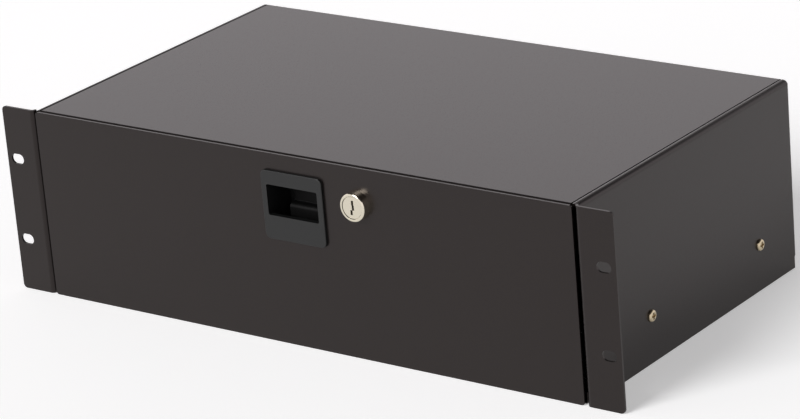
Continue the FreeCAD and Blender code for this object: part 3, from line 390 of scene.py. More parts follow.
# ---- Slide members
# Three members a side, cold rolled from 1 mm steel strip and bright zinc plated. Each flange carries a
# rolled trough that is a ball race, and the plating shows fine drawing lines along the member.
SLIDE_SHEET_MM = 1.0
SLIDE_BEND_MM = 0.35
RACE_HALF_MM = 1.9
RACE_FLAT_HALF_MM = 1.0
RACE_END_MM = 0.5
RACE_STEP_MM = 1.1
OUTER_BALL_MM = 5.45
INNER_BALL_MM = 8.35
OUTER_RACE_MM = 17.0
MIDDLE_RACE_MM = 13.1
INNER_RACE_MM = 10.3
OUTER_WEB_MM = 0.5
MIDDLE_WEB_MM = 2.2
INNER_WEB_MM = 12.2
SCREW_HOLE_MM = 2.15
SCREW_FIRST_MM = 66.5
SCREW_SPACING_MM = 130.0
ZINC_BLUE = "#aeb1b5"
ZINC_BLOOM = "#9b9ea3"
ZINC_CLOUD_MM = 22.0
STRIP_EDGE_MM = 0.12
DRAW_LINE_MM = 0.5
DRAW_LINE_STRETCH = 60.0


def bar(name, radius, start, end, sides=48):
    """A round bar between two points given in millimetres."""
    start, end = Vector(start) / 1000, Vector(end) / 1000
    turn = (end - start).to_track_quat("Z", "Y").to_euler()
    piece = new_shape(bpy.ops.mesh.primitive_cylinder_add, name, vertices=sides, radius=radius / 1000,
                      depth=(end - start).length, location=(start + end) / 2, rotation=turn)
    settle(piece)
    return piece


def opposite(piece, name):
    """The same piece for the left side, with a mesh of its own."""
    make_active(piece)
    bpy.ops.object.duplicate()
    other = bpy.context.active_object
    other.name = name
    other.scale.x = -1
    settle(other)
    open_for_edit(other, "FACE", "SELECT")
    bpy.ops.mesh.normals_make_consistent(inside=False)
    close_edit()
    return other


def rolled_zinc(name, colour, roughness, line_depth_mm, stretch):
    """Bright zinc plate on rolled steel: drawing lines along its length, and a faint cloudy bloom."""
    material, tree = new_material(name)
    place = object_place(tree)
    drawn = add(tree, "ShaderNodeMapping", {"Vector": place}, {"Scale": (1.0, 1 / stretch, 1.0)})
    lines = noise(tree, (drawn, "Vector"), DRAW_LINE_MM, 3.0)
    bloom = noise(tree, place, ZINC_CLOUD_MM, 4.0)
    return surface(material, {
        "Base Color": blend(tree, bloom, linear(colour), linear(ZINC_BLOOM)),
        "Roughness": spread(tree, lines, roughness * 0.75, roughness * 1.3),
        "Normal": relief(tree, lines, line_depth_mm),
    }, {"Metallic": 1.0})


zinc = rolled_zinc("bright_zinc_plated_rolled_steel", ZINC_BLUE, 0.30, 0.004, DRAW_LINE_STRETCH)
outer_low, outer_high = corners_mm("slide_outer_right")
wall_face = outer_high.x
slide_z = (outer_low.z + outer_high.z) / 2
tray_face = corners_mm("slide_inner_right")[0].x
screw_y = (outer_low.y + SCREW_FIRST_MM, outer_low.y + SCREW_FIRST_MM + SCREW_SPACING_MM)


def screw_holes(piece, low_x, high_x):
    """Cuts the holes for the slide screws from one side of a piece to the other."""
    for y in screw_y:
        cut(piece, bar("screw_hole", SCREW_HOLE_MM, (low_x - REACH_MM, y, slide_z),
                       (high_x + REACH_MM, y, slide_z), 24))


def slide_member(node, name, upper):
    """A rolled member from its upper half, listed from the flange's end down to the web, and its twin."""
    low, high = corners_mm(node + "_right")
    profile = upper + [(u, -v) for u, v in reversed(upper)]
    corners = [(wall_face - u, low.y, slide_z + v) for u, v in profile]
    made = folded(name + "_right", corners, (0, high.y - low.y, 0), SLIDE_SHEET_MM,
                  [SLIDE_BEND_MM] * (len(corners) - 2))
    if node != "slide_middle":
        screw_holes(made, low.x, high.x)
    return made, opposite(made, name + "_left")


shoulder = OUTER_RACE_MM - RACE_STEP_MM
outers = slide_member("slide_outer", "slide_case_rail", [
    (OUTER_BALL_MM + RACE_HALF_MM + RACE_END_MM, shoulder), (OUTER_BALL_MM + RACE_HALF_MM, shoulder),
    (OUTER_BALL_MM + RACE_FLAT_HALF_MM, OUTER_RACE_MM), (OUTER_BALL_MM - RACE_FLAT_HALF_MM, OUTER_RACE_MM),
    (OUTER_BALL_MM - RACE_HALF_MM, shoulder), (OUTER_WEB_MM, shoulder)])
shoulder = MIDDLE_RACE_MM + RACE_STEP_MM
middles = slide_member("slide_middle", "slide_middle_rail", [
    (INNER_BALL_MM + RACE_HALF_MM + RACE_END_MM, MIDDLE_RACE_MM),
    (INNER_BALL_MM + RACE_HALF_MM, MIDDLE_RACE_MM),
    (INNER_BALL_MM + RACE_FLAT_HALF_MM, shoulder), (INNER_BALL_MM - RACE_FLAT_HALF_MM, shoulder),
    (OUTER_BALL_MM + RACE_FLAT_HALF_MM, MIDDLE_RACE_MM), (OUTER_BALL_MM - RACE_FLAT_HALF_MM, MIDDLE_RACE_MM),
    (OUTER_BALL_MM - RACE_HALF_MM, shoulder), (MIDDLE_WEB_MM, shoulder)])
shoulder = INNER_RACE_MM + RACE_STEP_MM
inners = slide_member("slide_inner", "slide_tray_rail", [
    (INNER_BALL_MM - RACE_HALF_MM - RACE_END_MM, shoulder), (INNER_BALL_MM - RACE_HALF_MM, shoulder),
    (INNER_BALL_MM - RACE_FLAT_HALF_MM, INNER_RACE_MM), (INNER_BALL_MM + RACE_FLAT_HALF_MM, INNER_RACE_MM),
    (INNER_BALL_MM + RACE_HALF_MM, shoulder), (INNER_WEB_MM, shoulder)])
for members, node, body in ((outers, "slide_outer_", "case"), (middles, "slide_middle_", "slide_middle_"),
                            (inners, "slide_inner_", "drawer")):
    for member, side in zip(members, ("right", "left")):
        soften(member, STRIP_EDGE_MM, 2)
        fit(member, body + side if body.endswith("_") else body, "zinc_plated_steel", zinc, node + side)

# ---- Slide screws
# Pan-head machine screws with a cross recess, yellow-passivated, through the case's walls into the outer
# members, and low-head ones from inside the tray into the inner members.
HEAD_RADIUS_MM = 3.9
HEAD_DOME_MM = 1.5
SHANK_RADIUS_MM = 2.0
RECESS_LONG_MM = 4.4
RECESS_WIDE_MM = 1.3
RECESS_DEEP_MM = 1.5
PASSIVATED = "#cfc0a2"
PASSIVATED_BLOOM = "#bdaf94"
BLOOM_MM = 6.0
SCREW_EDGE_MM = 0.08
LOW_HEAD_MM = 1.17
DOME_SHARE = 0.8
WALL_SHEET_MM = 1.5
TRAY_SHEET_MM = 1.2


def plated(name, colour, bloom_colour, roughness, mark_mm, mark_depth_mm):
    """Plated or plain bright metal: tumbling marks in the surface and a faint bloom in the colour."""
    material, tree = new_material(name)
    place = object_place(tree)
    marks = noise(tree, place, mark_mm, 3.0)
    bloom = noise(tree, place, BLOOM_MM, 2.0)
    return surface(material, {
        "Base Color": blend(tree, bloom, linear(colour), linear(bloom_colour)),
        "Roughness": spread(tree, marks, roughness * 0.8, roughness * 1.25),
        "Normal": relief(tree, marks, mark_depth_mm),
    }, {"Metallic": 1.0})


def joined(name, pieces):
    """Several pieces as one object, such as the four screws of a set."""
    bpy.ops.object.select_all(action="DESELECT")
    for piece in pieces:
        piece.select_set(True)
    bpy.context.view_layer.objects.active = pieces[0]
    bpy.ops.object.join()
    pieces[0].name = name
    return pieces[0]


def cross_head_screw(name, seat, out, tip, height):
    """A cross-recess screw on an axis along X: its head stands out from seat, its shank ends at tip."""
    face = seat[0] + out * height
    head = bar(name, HEAD_RADIUS_MM, seat, (face, seat[1], seat[2]), 40)
    pick_edges(head, at(0, face))
    round_picked(min(HEAD_DOME_MM, height * DOME_SHARE), 6)
    shank_start = (seat[0] + out * height / 3, seat[1], seat[2])
    unite(head, bar("shank", SHANK_RADIUS_MM, shank_start, (tip, seat[1], seat[2]), 24))
    bottom = face - out * RECESS_DEEP_MM
    x_low, x_high = min(bottom, face + out), max(bottom, face + out)
    for long, tall in ((RECESS_LONG_MM / 2, RECESS_WIDE_MM / 2), (RECESS_WIDE_MM / 2, RECESS_LONG_MM / 2)):
        cut(head, block("recess", (x_low, seat[1] - long, seat[2] - tall),
                        (x_high, seat[1] + long, seat[2] + tall)))
    return head


passivated = plated("yellow_passivated_screw_steel", PASSIVATED, PASSIVATED_BLOOM, 0.28, 0.6, 0.003)
for node, name, seat_x, out, sheets, body in (
        ("case_slide_screws", "case_rail_screws", wall_face + WALL_SHEET_MM, 1, WALL_SHEET_MM, "case"),
        ("drawer_slide_screws", "tray_rail_screws", tray_face - TRAY_SHEET_MM, -1, TRAY_SHEET_MM, "drawer")):
    low, high = corners_mm(node)
    height = high.x - seat_x if out > 0 else LOW_HEAD_MM
    made = []
    for y in screw_y:
        screw = cross_head_screw("rail_screw", (seat_x, y, slide_z), out,
                                 seat_x - out * (sheets + SLIDE_SHEET_MM), height)
        made += [screw, opposite(screw, "rail_screw_left")]
    screws = joined(name, made)
    soften(screws, SCREW_EDGE_MM, 2)
    fit(screws, body, "plated_fasteners", passivated, node)

# ---- Slide in-stops
# Moulded nitrile rubber pads, pressed into the rear of the outer members, that stop the middle ones.
RUBBER_BLACK = "#121212"
PAD_EDGE_MM = 0.6
FLOW_MM = 18.0
FLOW_LIGHTER = 1.25


def moulded(name, colour, roughness, grain_mm, grain_depth_mm, specular):
    """Moulded plastic or rubber with an even spark grain from the tool."""
    material, tree = new_material(name)
    place = object_place(tree)
    grain = add(tree, "ShaderNodeTexVoronoi", {"Vector": place}, {"Scale": 1000 / grain_mm},
                feature="SMOOTH_F1"), "Distance"
    flow = noise(tree, place, FLOW_MM, 2.0)
    lighter = [c * FLOW_LIGHTER for c in linear(colour)[:3]] + [1.0]
    return surface(material, {
        "Base Color": blend(tree, flow, linear(colour), lighter),
        "Roughness": spread(tree, grain, roughness - 0.04, roughness + 0.06),
        "Normal": relief(tree, grain, grain_depth_mm),
    }, {"Specular IOR Level": specular})


rubber = moulded("black_nitrile_rubber", RUBBER_BLACK, 0.7, 0.8, 0.01, 0.35)
pad = block("slide_stop_right", *corners_mm("slide_buffer_right"))
for stop, side in ((pad, "right"), (opposite(pad, "slide_stop_left"), "left")):
    soften(stop, PAD_EDGE_MM, 4)
    fit(stop, "case", "buffer_rubber", rubber, "slide_buffer_" + side)

# ---- Ball cages and balls
# Thin strip-steel channels, punched with a row of pockets, that keep two rows of hardened balls apart.
# A cage holds nine balls a row, each a ground and polished 2.8 mm ball.
CAGE_SHEET_MM = 0.4
CAGE_BEND_MM = 0.2
BALL_MM = 1.4
BALL_POCKET_MM = 1.52
BALLS_A_ROW = 9
CAGE_MARGIN_MM = 8.0
OUTER_CAGE = (1.35, 7.35, 15.05, OUTER_BALL_MM)
INNER_CAGE = (3.05, 10.25, 12.25, INNER_BALL_MM)

strip_steel = rolled_zinc("bare_cold_rolled_strip", "#8d9093", 0.36, 0.003, DRAW_LINE_STRETCH)
hardened = plated("polished_bearing_steel", "#c9cbce", "#c0c3c7", 0.12, 2.0, 0.001)


def ball_cage(which, web, flange, level, across):
    """One right-hand cage and its balls, and their twins for the left side."""
    low, high = corners_mm("cage_" + which + "_right")
    profile = [(flange, level), (web, level), (web, -level), (flange, -level)]
    corners = [(wall_face - u, low.y, slide_z + v) for u, v in profile]
    cage = folded("cage_strip_" + which + "_right", corners, (0, high.y - low.y, 0), CAGE_SHEET_MM,
                  [CAGE_BEND_MM, CAGE_BEND_MM])
    step = (high.y - low.y - 2 * CAGE_MARGIN_MM) / (BALLS_A_ROW - 1)
    balls = []
    for i in range(BALLS_A_ROW):
        y = low.y + CAGE_MARGIN_MM + step * i
        cut(cage, bar("pocket", BALL_POCKET_MM, (wall_face - across, y, slide_z - level - OVERLAP_MM),
                      (wall_face - across, y, slide_z + level + OVERLAP_MM), 16))
        for v in (level, -level):
            centre = Vector((wall_face - across, y, slide_z + v)) / 1000
            ball = new_shape(bpy.ops.mesh.primitive_uv_sphere_add, "ball", segments=20, ring_count=12,
                             radius=BALL_MM / 1000, location=centre)
            settle(ball)
            balls.append(ball)
    row = joined("ball_row_" + which + "_right", balls)
    other_cage = opposite(cage, "cage_strip_" + which + "_left")
    return (cage, row, "right"), (other_cage, opposite(row, "ball_row_" + which + "_left"), "left")


for which, sizes in (("outer", OUTER_CAGE), ("inner", INNER_CAGE)):
    for cage, row, side in ball_cage(which, *sizes):
        body = which + "_cage_" + side
        smooth(cage)
        smooth(row)
        fit(cage, body, "cage_steel", strip_steel, "cage_" + which + "_" + side)
        fit(row, body, "ball_steel", hardened, "balls_" + which + "_" + side)

# ---- Drawer tray
# Floor and sides in one folded sheet, the sides' tops turned in, with a front and a rear wall welded in
# between them. It has the same powder coat as the case.
TRAY_BEND_MM = 1.0
TRAY_RIM_MM = 8.0
TRAY_WELD_FLANGE_MM = 12.0
TRAY_FLANGE_GAP_MM = 3.7

tray_coat = powder_coat("powder_coated_tray_steel", COAT_BLACK, COAT_THIN)
tray_low, tray_high = corners_mm("tray")
half = TRAY_SHEET_MM / 2
left, right = tray_low.x + half, tray_high.x - half
floor_z, rim_z = tray_low.z + half, tray_high.z - half
tray = folded("drawer_tray",
              [(tray_low.x + TRAY_RIM_MM, tray_low.y, rim_z), (left, tray_low.y, rim_z),
               (left, tray_low.y, floor_z), (right, tray_low.y, floor_z), (right, tray_low.y, rim_z),
               (tray_high.x - TRAY_RIM_MM, tray_low.y, rim_z)],
              (0, tray_high.y - tray_low.y, 0), TRAY_SHEET_MM, [TRAY_BEND_MM] * 4)
screw_holes(tray, tray_low.x, tray_high.x)
soften(tray, CUT_EDGE_MM, 2)
fit(tray, "drawer", "tray_powder_coat", tray_coat, "tray")

front_low, front_high = corners_mm("drawer_front")
bezel_low, bezel_high = corners_mm("handle_housing")
lock_low, lock_high = corners_mm("lock_barrel")
lock_x = (lock_low.x + lock_high.x) / 2
lock_z = (lock_low.z + lock_high.z) / 2
POCKET_WIDE_MM = 40.0
POCKET_HIGH_MM = 33.0
POCKET_DROP_MM = 7.5
POCKET_WALL_MM = 1.5
CUT_GAP_MM = 0.2
LOCK_BODY_MM = 8.0
LOCK_FLATS_MM = 14.4
LOCK_HOLE_GAP_MM = 0.15
handle_x = (bezel_low.x + bezel_high.x) / 2
room_low = Vector((handle_x - POCKET_WIDE_MM / 2, 0, bezel_high.z - POCKET_DROP_MM - POCKET_HIGH_MM))
room_high = Vector((handle_x + POCKET_WIDE_MM / 2, 0, bezel_high.z - POCKET_DROP_MM))


def double_d(name, radius, flats, y_low, y_high):
    """A round bar with two flats on the lock's axis."""
    made = bar(name, radius, (lock_x, y_low, lock_z), (lock_x, y_high, lock_z), 64)
    with_tools(made, "INTERSECT", block("flats", (lock_x - radius, y_low, lock_z - flats / 2),
                                        (lock_x + radius, y_high, lock_z + flats / 2)))
    return made


def cut_for_fittings(piece):
    """Cuts the openings for the pull's pocket and for the lock through a front sheet."""
    margin = POCKET_WALL_MM + CUT_GAP_MM
    cut(piece,
        block("pocket_cutter", (room_low.x - margin, front_low.y - REACH_MM, room_low.z - margin),
              (room_high.x + margin, front_high.y + REACH_MM, room_high.z + margin)),
        double_d("lock_cutter", LOCK_BODY_MM + LOCK_HOLE_GAP_MM, LOCK_FLATS_MM + 2 * LOCK_HOLE_GAP_MM,
                 front_low.y - REACH_MM, front_high.y + REACH_MM))


for node, name, inward in (("tray_front", "tray_front_wall", 1), ("tray_back", "tray_rear_wall", -1)):
    low, high = corners_mm(node)
    face = low.y if inward > 0 else high.y
    wall_y = face + inward * half
    end_y = face + inward * TRAY_WELD_FLANGE_MM
    wall = folded(name, [(low.x + half, end_y, low.z), (low.x + half, wall_y, low.z),
                         (high.x - half, wall_y, low.z), (high.x - half, end_y, low.z)],
                  (0, 0, high.z - low.z), TRAY_SHEET_MM, [TRAY_BEND_MM] * 2)
    inner = face + inward * TRAY_SHEET_MM
    y_low, y_high = min(inner, end_y + inward), max(inner, end_y + inward)
    for z_low, z_high in ((tray_high.z - TRAY_FLANGE_GAP_MM, high.z + OVERLAP_MM),
                          (low.z - OVERLAP_MM, tray_low.z + TRAY_FLANGE_GAP_MM)):
        cut(wall, block("flange_relief", (low.x - OVERLAP_MM, y_low, z_low),
                        (high.x + OVERLAP_MM, y_high, z_high)))
    if inward > 0:
        cut_for_fittings(wall)
    soften(wall, CUT_EDGE_MM, 2)
    fit(wall, "drawer", "tray_powder_coat", tray_coat, node)

# ---- Drawer front
# A flat plate of 1.5 mm steel with rounded corners, laser cut for the pull and the lock and spot welded to
# the tray's front wall. The powder builds up along its edges and softens them.
FRONT_CORNER_MM = 2.0
FRONT_EDGE_MM = 0.35


def along_y(a, b):
    """True for an edge that runs straight back."""
    return abs(a.x - b.x) < TOUCH_MM and abs(a.z - b.z) < TOUCH_MM


front_coat = powder_coat("powder_coated_front_steel", COAT_BLACK, COAT_THIN)
front = block("front_plate", front_low, front_high)
pick_edges(front, along_y)
round_picked(FRONT_CORNER_MM, 6)
cut_for_fittings(front)
soften(front, FRONT_EDGE_MM, 4)
fit(front, "drawer", "front_powder_coat", front_coat, "drawer_front")

# ---- Pull: bezel and finger pocket
# One moulding in black ABS, spark-eroded to a fine matt grain, which snaps into the plate from the front.
# Its rim stands 2 mm proud with a rounded edge, its pocket runs up behind the opening, two bosses hold the
# paddle's pin, and a window in the rear wall lets the paddle's arm through.
BEZEL_PROUD_MM = 2.0
BEZEL_CORNER_MM = 4.0
BEZEL_EDGE_MM = 0.6
LIP_MM = 1.7
OPENING_DROP_MM = 9.5
OPENING_HEIGHT_MM = 20.7
OPENING_CORNER_MM = 1.2
MOULDED_EDGE_MM = 0.3
BOSS_RADIUS_MM = 3.3
WINDOW_HALF_WIDE_MM = 4.6
WINDOW_HALF_HIGH_MM = 3.0
SNAP_LONG_MM = 4.0
SNAP_HIGH_MM = 10.0
SNAP_OUT_MM = 1.4
BRACKET_SCREW_MM = 1.2
BRACKET_HEAD_MM = 2.66
PADDLE_SIDE_GAP_MM = 0.3
SNAP_TAPER = 0.98
ABS_BLACK = "#101111"
ABS_GRAIN_MM = 0.7

bezel_front = bezel_low.y
plate_face = front_low.y
paddle_low, paddle_high = corners_mm("latch_paddle")
pin_low, pin_high = corners_mm("paddle_pin")
pin_radius = (pin_high.z - pin_low.z) / 2
pin_y = (pin_low.y + pin_high.y) / 2
pin_z = (pin_low.z + pin_high.z) / 2
bracket_low, bracket_high = corners_mm("latch_bracket")
screws_low, screws_high = corners_mm("bracket_screws")
screw_x = (screws_low.x + BRACKET_HEAD_MM, screws_high.x - BRACKET_HEAD_MM)
bracket_z = (screws_low.z + screws_high.z) / 2
pocket_back = bezel_high.y - POCKET_WALL_MM

pull = block("pull_moulding", (bezel_low.x, bezel_front, bezel_low.z),
             (bezel_high.x, plate_face, bezel_high.z))
pick_edges(pull, along_y)
round_picked(BEZEL_CORNER_MM, 8)
pick_edges(pull, at(1, bezel_front))
round_picked(BEZEL_EDGE_MM, 5)
unite(pull, block(
    "pocket_shell",
    (room_low.x - POCKET_WALL_MM, plate_face - BEZEL_PROUD_MM / 2, room_low.z - POCKET_WALL_MM),
    (room_high.x + POCKET_WALL_MM, bezel_high.y, room_high.z + POCKET_WALL_MM)))
for side, wall in ((-1, room_low.x - POCKET_WALL_MM), (1, room_high.x + POCKET_WALL_MM)):
    middle = (room_low.z + room_high.z) / 2
    start = front_high.y + TRAY_SHEET_MM
    low_x, high_x = min(wall - side, wall + side * SNAP_OUT_MM), max(wall - side, wall + side * SNAP_OUT_MM)
    snap = block("snap_wedge", (low_x, start, middle - SNAP_HIGH_MM / 2),
                 (high_x, start + SNAP_LONG_MM, middle + SNAP_HIGH_MM / 2))
    tip = wall + side * SNAP_OUT_MM
    pick_edges(snap, lambda a, b: abs(a.x - tip) < TOUCH_MM and abs(b.x - tip) < TOUCH_MM
               and a.y > start + 1 and b.y > start + 1)
    bpy.ops.transform.translate(value=(-side * SNAP_OUT_MM * SNAP_TAPER / 1000, 0, 0))
    close_edit()
    unite(pull, snap)
cut(pull, block("pocket_room", (room_low.x, plate_face + LIP_MM, room_low.z),
                (room_high.x, pocket_back, room_high.z)))
for wall, end in ((room_low.x - POCKET_WALL_MM / 2, paddle_low.x - PADDLE_SIDE_GAP_MM),
                  (room_high.x + POCKET_WALL_MM / 2, paddle_high.x + PADDLE_SIDE_GAP_MM)):
    unite(pull, bar("pin_boss", BOSS_RADIUS_MM, (wall, pin_y, pin_z), (end, pin_y, pin_z)))
opening_high = bezel_high.z - OPENING_DROP_MM
opening = block("opening_cutter", (room_low.x, bezel_front - REACH_MM, opening_high - OPENING_HEIGHT_MM),
                (room_high.x, plate_face + LIP_MM + OVERLAP_MM, opening_high))
pick_edges(opening, along_y)
round_picked(OPENING_CORNER_MM, 5)
cut(pull, opening,
    block("arm_window",
          (handle_x - WINDOW_HALF_WIDE_MM, pocket_back - OVERLAP_MM, pin_z - WINDOW_HALF_HIGH_MM),
          (handle_x + WINDOW_HALF_WIDE_MM, bezel_high.y + OVERLAP_MM, pin_z + WINDOW_HALF_HIGH_MM)),
    bar("pin_bore", pin_radius, (pin_low.x - OVERLAP_MM, pin_y, pin_z),
        (pin_high.x + OVERLAP_MM, pin_y, pin_z)))
for x in screw_x:
    cut(pull, bar("core", BRACKET_SCREW_MM, (x, pocket_back - OVERLAP_MM, bracket_z),
                  (x, bezel_high.y + OVERLAP_MM, bracket_z), 20))
soften(pull, MOULDED_EDGE_MM, 3)
bezel_abs = moulded("spark_grained_black_abs", ABS_BLACK, 0.42, ABS_GRAIN_MM, 0.02, 0.42)
fit(pull, "drawer", "handle_plastic", bezel_abs, "handle_housing")

# ---- Paddle pin
# A cut and tumbled steel wire pin, pressed into both walls of the pocket.
PIN_EDGE_MM = 0.25

tumbled = plated("tumbled_zinc_plated_steel", "#b7b9bb", "#a6a9ad", 0.30, 0.7, 0.003)
pin = bar("paddle_hinge_pin", pin_radius, (pin_low.x, pin_y, pin_z), (pin_high.x, pin_y, pin_z), 40)
soften(pin, PIN_EDGE_MM, 2)
fit(pin, "drawer", "plated_fasteners", tumbled, "paddle_pin")

# ---- Latch paddle
# Satin black ABS: a hub on the pin, a blade that hangs from it and steps forward to a grip for the
# fingertips, and a short arm with a round nose that reaches back through the window and draws the bolt down.
# The paddle's black is darker than the bezel's black: this is painted shade, for the dark of the pocket the
# paddle sits in.
PADDLE_SHADE_BLACK = "#080808"
BLADE_MM = 2.2
BLADE_BEND_MM = 0.5
BLADE_DROP_MM = 14.0
GRIP_FORWARD_MM = 5.9
ARM_WIDE_MM = 8.0
ARM_THICK_MM = 2.4
ARM_LONG_MM = 10.5
ARM_RISE = math.radians(11)
NOSE_RADIUS_MM = 1.8
PIN_PLAY_MM = 0.08
PADDLE_EDGE_MM = 0.35

step_z = pin_z - BLADE_DROP_MM
grip_y = pin_y - GRIP_FORWARD_MM
blade = folded("latch_paddle_moulding",
               [(paddle_low.x, pin_y, pin_z), (paddle_low.x, pin_y, step_z), (paddle_low.x, grip_y, step_z),
                (paddle_low.x, grip_y, paddle_low.z)],
               (paddle_high.x - paddle_low.x, 0, 0), BLADE_MM, [BLADE_BEND_MM, BLADE_BEND_MM])
unite(blade, bar("hub", BOSS_RADIUS_MM, (paddle_low.x, pin_y, pin_z), (paddle_high.x, pin_y, pin_z)))
nose_y = pin_y + ARM_LONG_MM * math.cos(ARM_RISE)
nose_z = pin_z + ARM_LONG_MM * math.sin(ARM_RISE)
arm = block("arm", (handle_x - ARM_WIDE_MM / 2, pin_y, pin_z - ARM_THICK_MM / 2),
            (handle_x + ARM_WIDE_MM / 2, pin_y + ARM_LONG_MM, pin_z + ARM_THICK_MM / 2))
pick_faces(arm, lambda centre, normal: normal.y > 0.9)
bpy.ops.transform.translate(value=(0, (nose_y - pin_y - ARM_LONG_MM) / 1000, (nose_z - pin_z) / 1000))
close_edit()
unite(blade, arm, bar("nose", NOSE_RADIUS_MM, (handle_x - ARM_WIDE_MM / 2, nose_y, nose_z),
                      (handle_x + ARM_WIDE_MM / 2, nose_y, nose_z), 32))
cut(blade, bar("bore", pin_radius + PIN_PLAY_MM,
               (paddle_low.x - OVERLAP_MM, pin_y, pin_z), (paddle_high.x + OVERLAP_MM, pin_y, pin_z)))
soften(blade, PADDLE_EDGE_MM, 3)
# The paddle's dark colour and its low specular are painted shade: they keep the paddle and its grip as dark
# as the pocket's shade leaves them.
paddle_abs = moulded("satin_black_abs_paddle_painted_shade", PADDLE_SHADE_BLACK, 0.5, 1.2, 0.004, 0.12)
fit(blade, "latch_paddle", "paddle_plastic", paddle_abs, "latch_paddle")

# ---- Latch bolt, its guide and its spring
# The bolt is a sintered steel bar with a ramped tip. A hat-shaped guide of zinc-plated strip keeps it
# against the pocket, and a spring of round music wire on the guide's floor pushes it up.
BOLT_RAMP_MM = 4.4
BOLT_EDGE_MM = 0.3
BOLT_WINDOW_GAP_MM = 0.3
GUIDE_SHEET_MM = 1.2
GUIDE_BEND_MM = 0.6
GUIDE_FOOT_MM = 7.5
COIL_RADIUS_MM = 2.1
WIRE_RADIUS_MM = 0.4
COIL_TURNS = 4
HEX_CROWN_SHARE = 0.22
COIL_STEPS = 32

sintered = plated("sintered_latch_steel", "#8b8d90", "#7d7f83", 0.42, 0.5, 0.008)
bolt_low, bolt_high = corners_mm("latch_bolt")
bolt = block("spring_bolt", bolt_low, bolt_high)
pick_edges(bolt, lambda a, b: min(a.z, b.z) > bolt_high.z - TOUCH_MM
           and min(a.y, b.y) > bolt_high.y - TOUCH_MM)
round_picked(BOLT_RAMP_MM, 1)
cut(bolt, block(
    "nose_window", (handle_x - ARM_WIDE_MM / 2 - BOLT_WINDOW_GAP_MM, bolt_low.y - OVERLAP_MM,
                    nose_z - NOSE_RADIUS_MM - BOLT_WINDOW_GAP_MM),
    (handle_x + ARM_WIDE_MM / 2 + BOLT_WINDOW_GAP_MM, nose_y + NOSE_RADIUS_MM + BOLT_WINDOW_GAP_MM,
     nose_z + NOSE_RADIUS_MM + BOLT_WINDOW_GAP_MM)))
soften(bolt, BOLT_EDGE_MM, 3)
fit(bolt, "latch_bolt", "bolt_steel", sintered, "latch_bolt")

half = GUIDE_SHEET_MM / 2
near, far = bracket_low.y + half, bracket_high.y - half
foot_left, foot_right = bracket_low.x, bracket_high.x
hat_left, hat_right = foot_left + GUIDE_FOOT_MM + half, foot_right - GUIDE_FOOT_MM - half
guide = folded("bolt_guide",
               [(foot_left, near, bracket_low.z), (hat_left, near, bracket_low.z),
                (hat_left, far, bracket_low.z),
                (hat_right, far, bracket_low.z), (hat_right, near, bracket_low.z),
                (foot_right, near, bracket_low.z)],
               (0, 0, bracket_high.z - bracket_low.z), GUIDE_SHEET_MM, [GUIDE_BEND_MM] * 4)
unite(guide, block("guide_floor", (hat_left, bracket_low.y, bracket_low.z),
                   (hat_right, far, bracket_low.z + GUIDE_SHEET_MM)))
for x in screw_x:
    cut(guide, bar("foot_hole", BRACKET_SCREW_MM, (x, bracket_low.y - OVERLAP_MM, bracket_z),
                   (x, bracket_low.y + 2, bracket_z), 20))
soften(guide, STRIP_EDGE_MM, 2)
fit(guide, "drawer", "zinc_plated_steel", zinc, "latch_bracket")

seat_z = bracket_low.z + GUIDE_SHEET_MM
coil_centre = Vector((handle_x, (bolt_low.y + bolt_high.y) / 2, seat_z + WIRE_RADIUS_MM)) / 1000
rise = (bolt_low.z - seat_z - 2 * WIRE_RADIUS_MM) / COIL_TURNS
coil = new_shape(bpy.ops.mesh.primitive_circle_add, "bolt_spring_wire", vertices=12, fill_type="NOTHING",
                 radius=WIRE_RADIUS_MM / 1000, location=coil_centre, rotation=(math.pi / 2, 0, 0))
make_active(coil)
bpy.ops.object.transform_apply(location=False, rotation=True, scale=True)
open_for_edit(coil, "VERT", "SELECT")
bpy.ops.transform.translate(value=(COIL_RADIUS_MM / 1000, 0, 0))
close_edit()
work(coil, "SCREW", axis="Z", screw_offset=rise / 1000, iterations=COIL_TURNS, steps=COIL_STEPS,
     render_steps=COIL_STEPS)
settle(coil)
open_for_edit(coil, "EDGE", "SELECT")
bpy.ops.mesh.remove_doubles(threshold=1e-7)
bpy.ops.mesh.select_all(action="DESELECT")
bpy.ops.mesh.select_mode(type="EDGE")
bpy.ops.mesh.select_non_manifold(extend=False, use_wire=False, use_boundary=True, use_multi_face=False,
                                 use_non_contiguous=False, use_verts=False)
bpy.ops.mesh.fill_holes(sides=0)
bpy.ops.mesh.select_all(action="SELECT")
bpy.ops.mesh.normals_make_consistent(inside=False)
close_edit()
smooth(coil)
music_wire = plated("zinc_plated_music_wire", "#a9abae", "#9b9da1", 0.26, 0.4, 0.003)
fit(coil, "drawer", "plated_fasteners", music_wire, "bolt_spring")
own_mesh(coil)


def hex_screw(name, seat, across, height, shank_radius, tip):
    """A hexagon-headed screw on an axis along Y, its head behind its seat."""
    head = bar(name, across / math.sqrt(3), seat, (seat[0], seat[1] + height, seat[2]), 6)
    top = seat[1] + height
    crown = bar("crown", across / math.sqrt(3), seat, (seat[0], top, seat[2]), 48)
    pick_edges(crown, at(1, top))
    round_picked(height * HEX_CROWN_SHARE, 2)
    with_tools(head, "INTERSECT", crown)
    unite(head, bar("shank", shank_radius, (seat[0], seat[1] + height / 2, seat[2]),
                    (seat[0], tip, seat[2]), 24))
    return head


HEX_ACROSS_MM = 4.6
HEX_HEIGHT_MM = 1.4
GUIDE_SCREW_EDGE_MM = 0.06
seat_y = bracket_low.y + GUIDE_SHEET_MM
guide_screws = joined("guide_screws", [
    hex_screw("guide_screw", (x, seat_y, bracket_z), HEX_ACROSS_MM, HEX_HEIGHT_MM, BRACKET_SCREW_MM,
              screws_low.y)
    for x in screw_x])
soften(guide_screws, GUIDE_SCREW_EDGE_MM, 2)
fit(guide_screws, "drawer", "plated_fasteners", tumbled, "bracket_screws")

